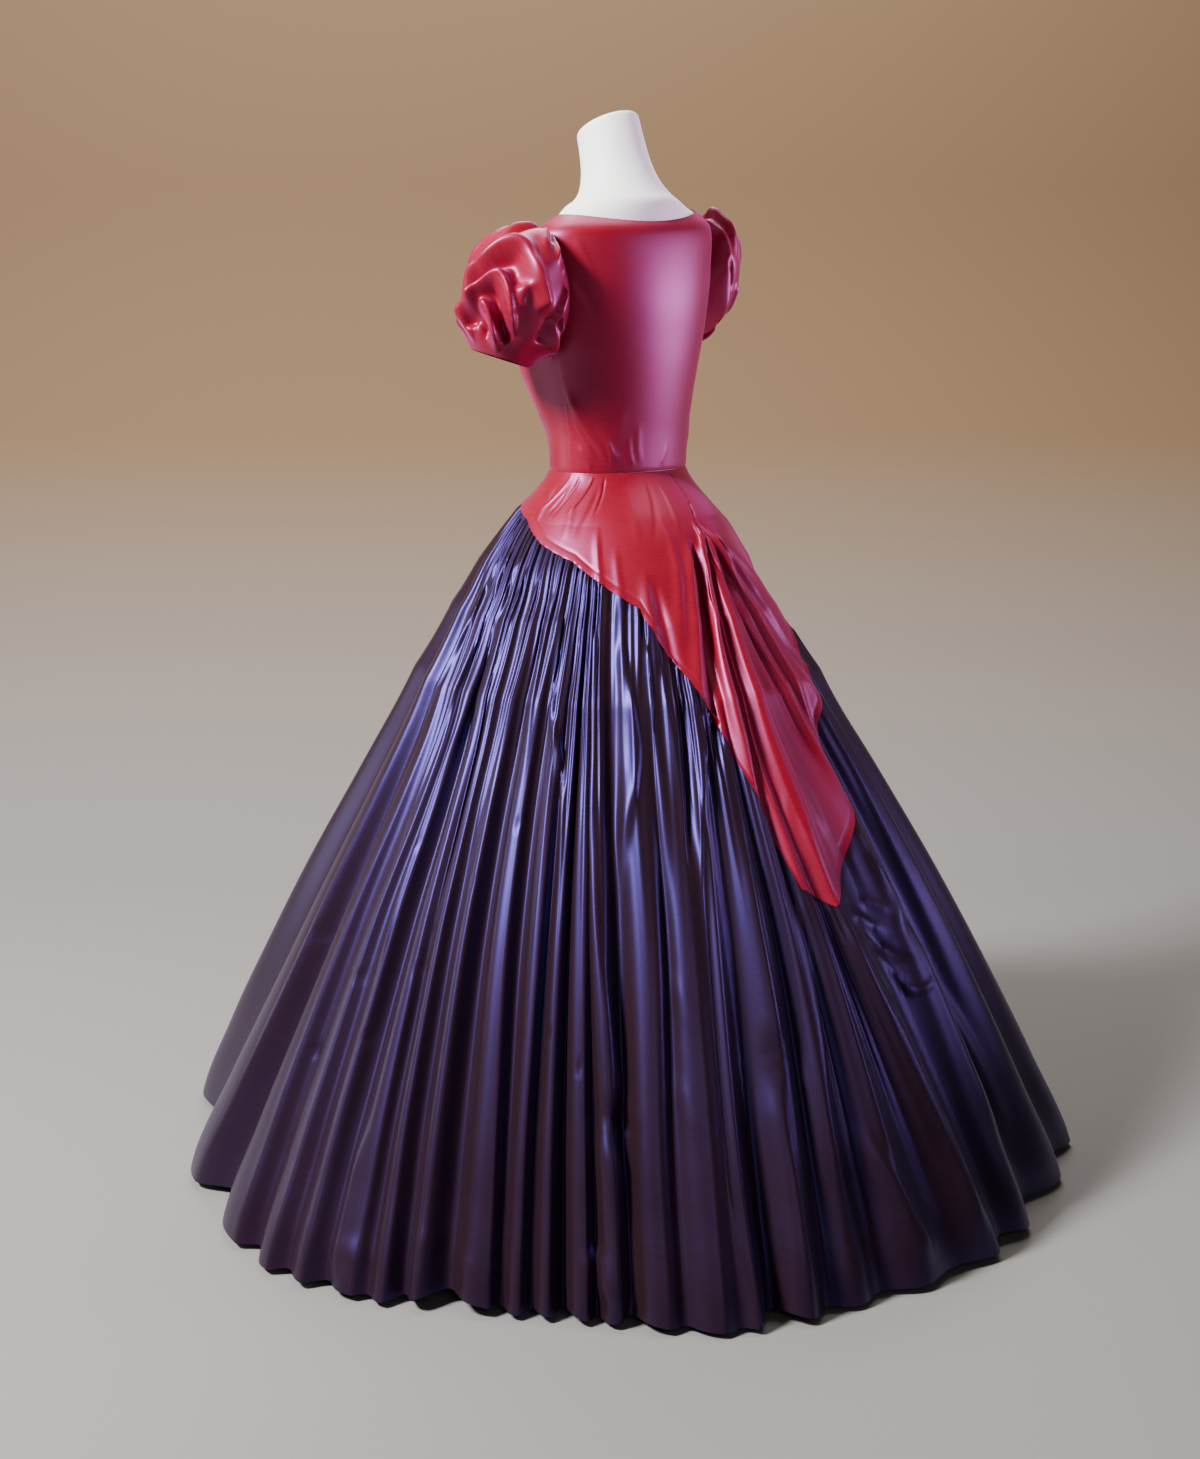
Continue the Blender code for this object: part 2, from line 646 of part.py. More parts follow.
def build_form_torso(material):
    """The smooth torso, hips to cut-off neck, just inside the bodice."""
    rings = [form_ring(ring) for ring in HIP_RINGS]
    for level in armhole_rings():
        clearance = SEAT_CLEARANCE if level in SEAT_RINGS else FORM_CLEARANCE
        row = []
        for i in range(FORM_COLUMNS):
            angle = 360 * i / FORM_COLUMNS
            row.append(bodice_point(angle, level) - bodice_normal(angle, level) * (WALL + clearance))
        rings.append(row)
    rings += [form_ring(ring) for ring in NECK_RINGS]
    mesh = bmesh.new()
    rows = [[mesh.verts.new(p) for p in ring] for ring in rings]
    for below, above in zip(rows, rows[1:]):
        for j in range(FORM_COLUMNS):
            k = (j + 1) % FORM_COLUMNS
            mesh.faces.new((below[j], below[k], above[k]))
            mesh.faces.new((below[j], above[k], above[j]))
    mesh.faces.new(rows[0][::-1])
    mesh.faces.new(rows[-1])
    return add_object("form_torso", mesh, material)


def build_form_stand(material):
    """The pole under the torso and the round plate that the whole rests on."""
    pole = bmesh.new()
    bottom = BASE_THICKNESS + SEAM_GAP
    top = HIP_BOTTOM - SEAM_GAP
    bmesh.ops.create_cone(
        pole, cap_ends=True, segments=24, radius1=POLE_RADIUS, radius2=POLE_RADIUS, depth=top - bottom
    )
    bmesh.ops.translate(pole, verts=pole.verts, vec=(0, 0, (top + bottom) / 2))
    add_object("form_pole", pole, material)

    plate = bmesh.new()
    bmesh.ops.create_cone(
        plate, cap_ends=True, segments=64, radius1=BASE_RADIUS, radius2=BASE_RADIUS, depth=BASE_THICKNESS
    )
    bmesh.ops.translate(plate, verts=plate.verts, vec=(0, 0, BASE_THICKNESS / 2))
    made = add_object("form_base", plate, material)
    bevel = made.modifiers.new("rounded edge", "BEVEL")
    bevel.width = BASE_EDGE
    bevel.segments = 2
    bevel.limit_method = "ANGLE"
    bevel.angle_limit = radians(60)


def main():
    for old in list(bpy.data.objects):
        bpy.data.objects.remove(old, do_unlink=True)
    red = principled("red taffeta", RED_TAFFETA, 0.38)
    purple = principled("purple taffeta", PURPLE_TAFFETA, 0.38)
    white = principled("form white", FORM_WHITE, 0.55)
    build_bodice_panel("bodice_back", red, is_back=True)
    build_bodice_panel("bodice_front", red, is_back=False)
    build_sleeve("sleeve_left", red, 1, LEFT_SLEEVE, LEFT_SLEEVE_FOLDS)
    build_sleeve("sleeve_right", red, -1, RIGHT_SLEEVE, RIGHT_SLEEVE_FOLDS)
    build_basque(red)
    build_skirt(purple)
    build_form_torso(white)
    build_form_stand(white)


main()
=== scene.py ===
"""The looks of an evening gown of shot silk taffeta, filled out on a white limbless dress form.

Metres, +Z up. The gown's front faces -Y and its wearer's left is +X. Every cloth piece is worked out from
the same rings, cone and folds as the solid it stands for, on a much finer grid, and then gets its creases.
"""

from math import cos, pi, radians, sin

import bmesh
import bpy
import numpy as np
from mathutils import Matrix, Vector


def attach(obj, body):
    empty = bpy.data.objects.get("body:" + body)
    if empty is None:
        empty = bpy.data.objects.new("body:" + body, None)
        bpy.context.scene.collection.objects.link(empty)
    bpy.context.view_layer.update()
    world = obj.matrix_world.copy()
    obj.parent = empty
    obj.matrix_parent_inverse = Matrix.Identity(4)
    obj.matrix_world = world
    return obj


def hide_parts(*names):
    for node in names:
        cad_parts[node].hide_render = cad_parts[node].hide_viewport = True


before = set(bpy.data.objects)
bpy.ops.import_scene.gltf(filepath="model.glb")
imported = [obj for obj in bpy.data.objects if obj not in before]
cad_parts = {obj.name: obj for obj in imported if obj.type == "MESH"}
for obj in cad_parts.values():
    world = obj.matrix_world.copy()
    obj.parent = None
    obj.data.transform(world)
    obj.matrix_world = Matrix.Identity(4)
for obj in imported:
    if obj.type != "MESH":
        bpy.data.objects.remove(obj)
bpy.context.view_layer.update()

# CAMERA
# A view camera on a stand, 3.1 m away at the gown's back-left quarter. It is level with the shoulders and
# looks a little down. Bearings round the gown are counted from this quarter.
QUARTER = 45.0
CAMERA_PLACE = Vector((2.210, 2.210, 1.316))
CAMERA_PITCH = radians(12.0)
CAMERA_YAW = radians(0.643)
SENSOR = 36.0
FRAME_PIXELS = 1459.0
FOCAL_PIXELS = 2090.0
quarter_right = Vector((-1, 1, 0)).normalized()
quarter_ahead = Vector((-1, -1, 0)).normalized()
camera_right = cos(CAMERA_YAW) * quarter_right + sin(CAMERA_YAW) * quarter_ahead
camera_level = cos(CAMERA_YAW) * quarter_ahead - sin(CAMERA_YAW) * quarter_right
camera_ahead = cos(CAMERA_PITCH) * camera_level - sin(CAMERA_PITCH) * Vector((0, 0, 1))
camera_up = camera_right.cross(camera_ahead)
camera = bpy.data.objects.new("camera", bpy.data.cameras.new("camera"))
bpy.context.scene.collection.objects.link(camera)
camera.data.sensor_width = SENSOR
camera.data.lens = SENSOR * FOCAL_PIXELS / FRAME_PIXELS
turn = Matrix((camera_right, camera_up, -camera_ahead)).transposed()
camera.matrix_world = Matrix.Translation(CAMERA_PLACE) @ turn.to_4x4()
bpy.context.scene.camera = camera

# STUDIO
# A roll of plain pale paper hangs behind the gown and runs out under it in one sweep, light grey on the
# floor and beige up the wall. Soft boxes stand round the gown, out of the picture.
FLOOR_GREY = (0.22, 0.212, 0.208, 1.0)
WALL_BEIGE = (0.19, 0.122, 0.070, 1.0)
BEIGE_ABOVE = 0.9
SWEEP_NEAR = -9.0
BEND_START = 1.4
BEND_RADIUS = 1.6
BEND_STEPS = 16
WALL_PLACE = 3.0
WALL_TOP = 7.0
SWEEP_HALF_WIDTH = 12.0


def new_material(name):
    """A node material, the nodes and links of its tree, and its shader."""
    material = bpy.data.materials.new(name)
    material.use_nodes = True
    tree = material.node_tree
    return material, tree.nodes, tree.links, tree.nodes["Principled BSDF"]


def mix_colours(nodes, first, second):
    """A node that blends two colours."""
    node = nodes.new("ShaderNodeMix")
    node.data_type = "RGBA"
    node.inputs["A"].default_value = first
    node.inputs["B"].default_value = second
    return node


def paper_sweep():
    """Floor and wall in one bent sheet, the wall behind the gown as the camera sees it."""
    profile = [(SWEEP_NEAR, 0.0), (BEND_START, 0.0)]
    for step in range(1, BEND_STEPS + 1):
        turned = radians(90 * step / BEND_STEPS)
        profile.append((BEND_START + BEND_RADIUS * sin(turned), BEND_RADIUS - BEND_RADIUS * cos(turned)))
    profile.append((WALL_PLACE, WALL_TOP))
    points = []
    for across in (-SWEEP_HALF_WIDTH, SWEEP_HALF_WIDTH):
        for ahead, up in profile:
            place = quarter_ahead * ahead + quarter_right * across
            points.append((place.x, place.y, up))
    rows = len(profile)
    faces = [(i, i + rows, i + rows + 1, i + 1) for i in range(rows - 1)]
    data = bpy.data.meshes.new("paper_sweep")
    data.from_pydata(points, [], faces)
    data.shade_smooth()
    made = bpy.data.objects.new("paper_sweep", data)
    bpy.context.scene.collection.objects.link(made)
    return made


sweep = paper_sweep()
paper, nodes, links, shader = new_material("studio paper")
place = nodes.new("ShaderNodeNewGeometry")
split = nodes.new("ShaderNodeSeparateXYZ")
links.new(place.outputs["Position"], split.inputs["Vector"])
rise = nodes.new("ShaderNodeMapRange")
rise.inputs["From Min"].default_value = 0.0
rise.inputs["From Max"].default_value = BEIGE_ABOVE
links.new(split.outputs["Z"], rise.inputs["Value"])
blend = mix_colours(nodes, FLOOR_GREY, WALL_BEIGE)
links.new(rise.outputs["Result"], blend.inputs["Factor"])
links.new(blend.outputs["Result"], shader.inputs["Base Color"])
shader.inputs["Roughness"].default_value = 0.95
shader.inputs["Specular IOR Level"].default_value = 0.1
# Seen from behind, the paper lets the view through, so that the gown can be looked at from every side.
clear = nodes.new("ShaderNodeBsdfTransparent")
either = nodes.new("ShaderNodeMixShader")
links.new(place.outputs["Backfacing"], either.inputs["Fac"])
links.new(shader.outputs["BSDF"], either.inputs[1])
links.new(clear.outputs["BSDF"], either.inputs[2])
links.new(either.outputs["Shader"], nodes["Material Output"].inputs["Surface"])
sweep.data.materials.append(paper)


def soft_box(name, bearing, distance, height, aim, size, power, colour, spread=180):
    """A rectangular light aimed at a point. Its bearing and spread are in degrees."""
    light = bpy.data.lights.new(name, "AREA")
    light.shape = "RECTANGLE"
    light.size, light.size_y = size
    light.energy = power
    light.spread = radians(spread)
    light.color = colour
    made = bpy.data.objects.new(name, light)
    angle = radians(bearing + QUARTER)
    stand = Vector((distance * cos(angle), distance * sin(angle), height))
    made.location = stand
    made.rotation_mode = "QUATERNION"
    made.rotation_quaternion = (stand - Vector(aim)).to_track_quat("Z", "Y")
    bpy.context.scene.collection.objects.link(made)


soft_box("key", -56, 3.2, 3.4, (0.0, 0.0, 0.9), (0.8, 0.8), 560, (1.0, 0.98, 0.97))
soft_box("strip", -99, 3.4, 1.05, (0.0, 0.0, 0.6), (0.7, 1.4), 17, (1.0, 0.98, 0.98))
soft_box("side", 92, 3.0, 1.24, (0.0, 0.0, 1.46), (3.4, 0.8), 20, (0.92, 0.60, 1.0), spread=50)
soft_box("front", 10, 4.2, 2.2, (0.0, 0.0, 0.8), (2.4, 1.6), 15, (1.0, 0.96, 0.92))
soft_box("top", 180, 2.6, 4.4, (0.0, 0.0, 0.0), (1.6, 0.8), 110, (0.96, 0.96, 1.0))
soft_box("wall wash", 180, 0.9, 4.6, (-2.1, -2.1, 1.4), (3.0, 0.8), 150, (1.0, 0.94, 0.86))

world = bpy.data.worlds.new("studio air")
world.use_nodes = True
air = world.node_tree.nodes["Background"]
air.inputs["Color"].default_value = (0.62, 0.56, 0.50, 1.0)
air.inputs["Strength"].default_value = 0.04
bpy.context.scene.world = world

# DRESS FORM
# A limbless display form, moulded in one and painted matt white: hips, torso and a slanting cut-off neck.
# It stands on a pole and a round plate. The bodice is fitted to it, so the bodice's rings give its torso.
WALL = 0.0015
WAIST_HEIGHT = 1.050
HIP_BOTTOM = 0.780
FORM_CLEARANCE = 0.0020
SEAT_CLEARANCE = 0.0008
# Bodice rings, waist to neckline: height, half width, reach to front and back, rise of the middle of
# front and back, and how square the front is.
BODICE_RINGS = np.array((
    (1.05, 0.113, 0.107, 0.07, 0, 0, 2),
    (1.1, 0.114, 0.107, 0.074, 0, 0, 2.1),
    (1.15, 0.121, 0.139, 0.08, 0, 0, 2.3),
    (1.2, 0.131, 0.16, 0.086, 0, 0, 2.5),
    (1.24, 0.141, 0.152, 0.09, 0, 0, 2.4),
    (1.29, 0.15, 0.13, 0.094, 0, 0, 2.2),
    (1.34, 0.157, 0.108, 0.093, 0, 0, 2.1),
    (1.395, 0.159, 0.088, 0.087, -0.014, -0.006, 2),
    (1.421, 0.124, 0.072, 0.078, -0.034, -0.015, 2),
))
SHOULDER_TILT = 0.055
NECKLINE_RING = 8
SEAT_RINGS = (1.0, 7.7, 8.0)
SEAT_REACH = 0.5
# Hips and neck: height, centre forward, half width, half depth, slope of the ring down to the front.
HIP_RINGS = np.array((
    (HIP_BOTTOM, 0.006, 0.14, 0.108, 0),
    (0.8, 0.006, 0.147, 0.116, 0),
    (0.87, 0.006, 0.15, 0.12, 0),
    (0.94, 0.009, 0.143, 0.114, 0),
    (1, 0.015, 0.124, 0.097, 0),
))
NECK_RINGS = np.array((
    (1.428, 0, 0.098, 0.072, 0.08),
    (1.44, 0.004, 0.077, 0.064, 0.14),
    (1.457, 0.01, 0.06, 0.057, 0.2),
    (1.485, 0.018, 0.05, 0.05, 0.28),
    (1.52, 0.028, 0.045, 0.047, 0.36),
    (1.54, 0.034, 0.043, 0.046, 0.4),
    (1.545, 0.035, 0.038, 0.041, 0.4),
))
FORM_COLUMNS = 96
FORM_ANGLES = np.arange(FORM_COLUMNS) * 360.0 / FORM_COLUMNS
HIP_ROWS = 25
TORSO_ROWS = 97
NECK_ROWS = 57


def through(before, a, b, after, t):
    """A smooth curve from a to b, bent by the points before and after them (Catmull-Rom)."""
    leave = (b - before) / 2 * t * (1 - t) ** 2
    arrive = (after - a) / 2 * t * t * (t - 1)
    return a * (1 + 2 * t) * (1 - t) ** 2 + leave + b * t * t * (3 - 2 * t) + arrive


def between(knots, place):
    """A smooth curve through equally spaced knots, read at places counted in knots."""
    knots = np.asarray(knots, float)
    place = np.asarray(place, float)
    last = len(knots) - 1
    start = np.clip(np.floor(place).astype(int), 0, last - 1)
    t = (place - start).reshape(place.shape + (1,) * (knots.ndim - 1))
    before = knots[np.maximum(start - 1, 0)]
    after = knots[np.minimum(start + 2, last)]
    return through(before, knots[start], knots[start + 1], after, t)


def bodice_surface(angle, ring):
    """The bodice's outer face at angles (0 wearer's left, 90 back) and rings up from the waist."""
    angle, ring = np.broadcast_arrays(np.asarray(angle, float), np.asarray(ring, float))
    columns = [between(BODICE_RINGS[:, i], ring) for i in range(7)]
    height, side, front, back, front_rise, back_rise, square = columns
    c = np.cos(np.radians(angle))
    s = np.sin(np.radians(angle))
    power = np.where(s < 0, 2 / square, 1.0)
    x = side * np.sign(c) * np.abs(c) ** power
    y = np.where(s >= 0, back * s, -front * np.abs(s) ** power)
    rise = np.where(y > 0, back_rise, front_rise)
    tilt = -SHOULDER_TILT * x * np.clip(ring / NECKLINE_RING, 0, 1) ** 2
    return np.stack((x, y, height + rise * s * s + tilt), -1)


def unit(vectors):
    return vectors / np.maximum(np.linalg.norm(vectors, axis=-1, keepdims=True), 1e-9)


def outward(surface, across, up, step_across, step_up):
    """The outward normals of a surface given by two numbers."""
    along = surface(across + step_across, up) - surface(across - step_across, up)
    upward = surface(across, up + step_up) - surface(across, up - step_up)
    return unit(np.cross(along, upward))


def bodice_normals(angle, ring):
    ring = np.clip(ring, 0.05, NECKLINE_RING - 0.05)
    return outward(bodice_surface, angle, ring, step_across=4.0, step_up=0.05)


def body_ring(ring):
    """One ring of the form's hips or neck."""
    height, forward, side, depth, slope = ring
    turned = np.radians(FORM_ANGLES)
    y = depth * np.sin(turned)
    return np.stack((side * np.cos(turned), y - forward, height + slope * y), -1)


def grid_object(name, grid, uv, round_piece=False):
    """A cloth surface from a grid of points, rows upward and columns round the body, its uv in metres."""
    rows, columns = grid.shape[:2]
    spans = columns if round_piece else columns - 1
    row, column = np.meshgrid(np.arange(rows - 1), np.arange(spans), indexing="ij")
    following = (column + 1) % columns
    corners = np.stack((
        row * columns + column,
        row * columns + following,
        (row + 1) * columns + following,
        (row + 1) * columns + column,
    ), -1).reshape(-1, 4)
    data = bpy.data.meshes.new(name)
    data.vertices.add(rows * columns)
    data.vertices.foreach_set("co", grid.reshape(-1).astype(np.float32))
    data.loops.add(len(corners) * 4)
    data.loops.foreach_set("vertex_index", corners.reshape(-1).astype(np.int32))
    data.polygons.add(len(corners))
    data.polygons.foreach_set("loop_start", np.arange(0, len(corners) * 4, 4, dtype=np.int32))
    data.update(calc_edges=True)
    layer = data.uv_layers.new(name="weave")
    flat = np.broadcast_to(uv, grid.shape[:2] + (2,)).reshape(-1, 2)
    layer.data.foreach_set("uv", flat[corners.reshape(-1)].reshape(-1).astype(np.float32))
    data.shade_smooth()
    border = np.zeros(grid.shape[:2], bool)
    border[0] = border[-1] = True
    if not round_piece:
        border[:, 0] = border[:, -1] = True
    ends = np.empty(len(data.edges) * 2, dtype=np.int32)
    data.edges.foreach_get("vertices", ends)
    sharp = border.reshape(-1)[ends].reshape(-1, 2).all(axis=1)
    data.attributes.new("sharp_edge", "BOOLEAN", "EDGE").data.foreach_set("value", sharp)
    made = bpy.data.objects.new(name, data)
    bpy.context.scene.collection.objects.link(made)
    return made


def form_torso_grid():
    """The torso's rings in rows: hips, then the bodice's rings drawn in by its wall, then the neck."""
    hips = np.array([body_ring(ring) for ring in HIP_RINGS])
    rows = list(between(hips, np.linspace(0, len(hips) - 1, HIP_ROWS)))
    for ring in np.linspace(0, NECKLINE_RING, TORSO_ROWS):
        near = min(abs(ring - seat) for seat in SEAT_RINGS)
        clearance = SEAT_CLEARANCE + (FORM_CLEARANCE - SEAT_CLEARANCE) * min(near / SEAT_REACH, 1.0)
        inward = bodice_normals(FORM_ANGLES, ring) * (WALL + clearance)
        rows.append(bodice_surface(FORM_ANGLES, ring) - inward)
    neck = np.array([rows[-1]] + [body_ring(ring) for ring in NECK_RINGS])
    rows += list(between(neck, np.linspace(0, len(NECK_RINGS), NECK_ROWS)[1:]))
    return np.array(rows)


def close_end(piece, first, columns, upward):
    """Fills one end of a round grid with a single face."""
    ring = list(range(first, first + columns))
    mesh = bmesh.new()
    mesh.from_mesh(piece.data)
    mesh.verts.ensure_lookup_table()
    mesh.faces.new([mesh.verts[i] for i in (ring if upward else ring[::-1])])
    mesh.to_mesh(piece.data)
    mesh.free()


def add_bump(nodes, links, shader, height, strength, distance):
    """Roughens a shader's surface by a height."""
    bump = nodes.new("ShaderNodeBump")
    bump.inputs["Strength"].default_value = strength
    bump.inputs["Distance"].default_value = distance
    links.new(height, bump.inputs["Height"])
    links.new(bump.outputs["Normal"], shader.inputs["Normal"])


grid = form_torso_grid()
torso = grid_object("dress_form_torso", grid, np.zeros(2), round_piece=True)
close_end(torso, 0, FORM_COLUMNS, upward=False)
close_end(torso, (len(grid) - 1) * FORM_COLUMNS, FORM_COLUMNS, upward=True)

form_white, nodes, links, shader = new_material("matt white form")
cloudy = nodes.new("ShaderNodeTexNoise")
cloudy.inputs["Scale"].default_value = 7.0
cloudy.inputs["Detail"].default_value = 4.0
shade = mix_colours(nodes, (0.95, 0.95, 0.94, 1.0), (0.91, 0.91, 0.89, 1.0))
grain = nodes.new("ShaderNodeTexNoise")
grain.inputs["Scale"].default_value = 900.0
where = nodes.new("ShaderNodeTexCoord")
links.new(where.outputs["Object"], cloudy.inputs["Vector"])
links.new(where.outputs["Object"], grain.inputs["Vector"])
links.new(cloudy.outputs["Fac"], shade.inputs["Factor"])
links.new(shade.outputs["Result"], shader.inputs["Base Color"])
add_bump(nodes, links, shader, grain.outputs["Fac"], strength=0.12, distance=0.0002)
shader.inputs["Roughness"].default_value = 0.62
torso.data.materials.append(form_white)
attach(torso, "root")
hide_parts("form_torso")
for name in ("form_pole", "form_base"):
    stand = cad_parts[name]
    stand.data.materials.clear()
    stand.data.materials.append(form_white)

# BODICE
# A fitted bodice in red shot taffeta, cut in a back and a front and seamed at the sides. It is drawn
# smooth over the form, with drag lines running up from the waist.
UNDERARM_RING = 4
SHOULDER_RING = 7
ARMHOLE_MIDDLE = (UNDERARM_RING + SHOULDER_RING) / 2
ARMHOLE_HALF = (SHOULDER_RING - UNDERARM_RING) / 2
ARMHOLE_BACK = 21.0
ARMHOLE_FRONT = 27.0
# The bodice's mean radius turns degrees round it into metres.
BODICE_ROUND = 0.118
BODICE_SCALE = (radians(1.0) * BODICE_ROUND, 1.0)
CLOTH_THICKNESS = 0.0009
# Stitched seams as grooves: height and half width.
SIDE_SEAM = (-0.0003, 0.0012)
WAIST_SEAM = (-0.0009, 0.0025)
# Points to a span of a crease's line, and how many of its widths it reaches.
CREASE_STEPS = 5
CREASE_REACH = 3
ROWS_BELOW = 54
ROWS_BESIDE = 61
ROWS_ABOVE = 17


def taffeta(name, base, deep, tint, sheen, roughness, slub_depth):
    """Shot taffeta: a plain weave with slubs across, a coloured gloss and a sheen of the other thread."""
    material, nodes, links, shader = new_material(name)
    where = nodes.new("ShaderNodeTexCoord")

    def stretched_noise(across, along, detail):
        size = nodes.new("ShaderNodeMapping")
        size.inputs["Scale"].default_value = (across, along, 1.0)
        noise = nodes.new("ShaderNodeTexNoise")
        noise.inputs["Scale"].default_value = 1.0
        noise.inputs["Detail"].default_value = detail
        links.new(where.outputs["UV"], size.inputs["Vector"])
        links.new(size.outputs["Vector"], noise.inputs["Vector"])
        return noise.outputs["Fac"]

    slubs = stretched_noise(32.0, 760.0, 3.0)
    warp = stretched_noise(1600.0, 30.0, 2.0)
    clouds = stretched_noise(9.0, 9.0, 4.0)
    threads = nodes.new("ShaderNodeMath")
    threads.operation = "MULTIPLY_ADD"
    threads.inputs[1].default_value = 0.6
    links.new(warp, threads.inputs[0])
    links.new(slubs, threads.inputs[2])
    colour = mix_colours(nodes, base, deep)
    links.new(clouds, colour.inputs["Factor"])
    streak = nodes.new("ShaderNodeMix")
    streak.data_type = "RGBA"
    streak.blend_type = "MULTIPLY"
    streak.inputs["Factor"].default_value = 0.6
    links.new(colour.outputs["Result"], streak.inputs["A"])
    links.new(slubs, streak.inputs["B"])
    links.new(streak.outputs["Result"], shader.inputs["Base Color"])
    add_bump(nodes, links, shader, threads.outputs["Value"], strength=0.5, distance=slub_depth)
    shader.inputs["Roughness"].default_value = roughness
    shader.inputs["IOR"].default_value = 1.8
    shader.inputs["Specular Tint"].default_value = tint
    shader.inputs["Sheen Weight"].default_value = 0.6
    shader.inputs["Sheen Roughness"].default_value = 0.35
    shader.inputs["Sheen Tint"].default_value = sheen
    return material


red_taffeta = taffeta(
    "red shot taffeta",
    base=(0.33, 0.002, 0.005, 1.0),
    deep=(0.24, 0.002, 0.006, 1.0),
    tint=(0.95, 0.28, 0.80, 1.0),
    sheen=(0.62, 0.10, 0.58, 1.0),
    roughness=0.42,
    slub_depth=0.00016,
)


def ease(share):
    """Goes from 0 to 1 with a soft start and end."""
    return share * share * (3 - 2 * share)


def swell(away, height, width):
    """The lift of a rounded ridge, or a groove where height is negative, at a distance from its middle."""
    return height * np.exp(-((away / width) ** 2))


def segment_share(u, v, a, b):
    """The share of a segment at which it is nearest, the distance, positive to its left, and its length."""
    along = np.array(b, float) - np.array(a, float)
    length = max(np.hypot(*along), 1e-9)
    along = along / length
    du = u - a[0]
    dv = v - a[1]
    share = np.clip((du * along[0] + dv * along[1]) / length, 0, 1)
    side = along[0] * dv - along[1] * du
    away = np.hypot(du - along[0] * share * length, dv - along[1] * share * length)
    return share, np.where(side >= 0, away, -away), length


def crease_height(u, v, creases, scale):
    """How far creases lift the cloth. A crease is a line of points, then its height and its widths to left
    and right in millimetres, and the shares of its length over which it begins and ends."""
    u, v = np.broadcast_arrays(u * scale[0], v * scale[1])
    lift = np.zeros(u.shape)
    for line, *sizes, begin, end in creases:
        height, left, right = np.array(sizes) / 1000
        spans = len(line) - 1
        points = between(np.array(line, float) * scale, np.linspace(0, spans, CREASE_STEPS * spans + 1))
        total = np.linalg.norm(np.diff(points, axis=0), axis=1).sum()
        reach = CREASE_REACH * max(left, right)
        low = points.min(axis=0) - reach
        high = points.max(axis=0) + reach
        near = (u > low[0]) & (u < high[0]) & (v > low[1]) & (v < high[1])
        if not near.any():
            continue
        nearest = np.full(near.sum(), 1e9)
        signed = np.zeros(nearest.shape)
        progress = np.zeros(nearest.shape)
        done = 0.0
        for a, b in zip(points, points[1:]):
            share, away, length = segment_share(u[near], v[near], a, b)
            closer = np.abs(away) < nearest
            nearest = np.where(closer, np.abs(away), nearest)
            signed = np.where(closer, away, signed)
            progress = np.where(closer, (done + share * length) / total, progress)
            done += length
        width = np.where(signed >= 0, left, right)
        fade = np.clip(progress / max(begin, 1e-3), 0, 1) * np.clip((1 - progress) / max(end, 1e-3), 0, 1)
        lift[near] += ease(fade) * swell(nearest, height, width)
    return lift


def armhole_half_width(ring, widest):
    """How far the armhole reaches round from the side at a ring, in degrees."""
    share = np.minimum(np.abs(ring - ARMHOLE_MIDDLE) / ARMHOLE_HALF, 1.0)
    return widest * np.sqrt(1 - share * share)


# Drag lines of the back: points as angle and height, and the rest as crease_height says.
BACK_CREASES = (
    (((2, 1.175), (18, 1.125), (36, 1.085), (50, 1.058)), 3.4, 12, 6, 0.3, 0.25),
    (((6, 1.14), (20, 1.1), (34, 1.066)), 2.2, 7, 5, 0.3, 0.3),
    (((30, 1.125), (44, 1.09), (54, 1.062)), 1.8, 7, 4, 0.4, 0.2),
    (((40, 1.11), (46, 1.08), (48, 1.055)), 1.5, 4, 4, 0.4, 0.2),
    (((12, 1.09), (24, 1.066), (30, 1.054)), 1.8, 6, 4, 0.3, 0.2),
    (((61, 1.105), (63, 1.075), (68, 1.056)), 1.2, 5, 4, 0.4, 0.2),
    (((70, 1.125), (70, 1.085), (74, 1.058)), 1, 6, 6, 0.4, 0.3),
    (((58, 1.15), (52, 1.11), (50, 1.075)), 1.2, 10, 10, 0.4, 0.4),
    (((29, 1.385), (36, 1.35), (41, 1.315)), 1.6, 7, 9, 0.3, 0.4),
    (((24, 1.33), (34, 1.3), (40, 1.262)), -1.4, 8, 8, 0.2, 0.4),
    (((100, 1.09), (96, 1.07), (94, 1.056)), 0.8, 5, 5, 0.4, 0.2),
    (((146, 1.062), (144, 1.15), (145, 1.245), (147, 1.3)), -1, 1.6, 1.6, 0.05, 0.1),
    (((166, 1.16), (152, 1.11), (140, 1.075)), 1.8, 8, 6, 0.3, 0.3),
)
# Similar drag lines of the front, which the photo hides: under the bust and up from the waist.
FRONT_CREASES = (
    (((214, 1.15), (224, 1.105), (236, 1.062)), 1.8, 8, 6, 0.3, 0.3),
    (((326, 1.145), (316, 1.1), (302, 1.064)), 2.2, 9, 6, 0.3, 0.3),
    (((252, 1.13), (256, 1.09), (258, 1.058)), 1.2, 6, 6, 0.4, 0.2),
    (((288, 1.12), (284, 1.09), (281, 1.06)), 1, 6, 5, 0.4, 0.2),
    (((205, 1.29), (222, 1.255), (236, 1.235)), 2, 10, 8, 0.2, 0.4),
    (((334, 1.29), (318, 1.262), (306, 1.24)), 1.6, 10, 8, 0.2, 0.4),
)


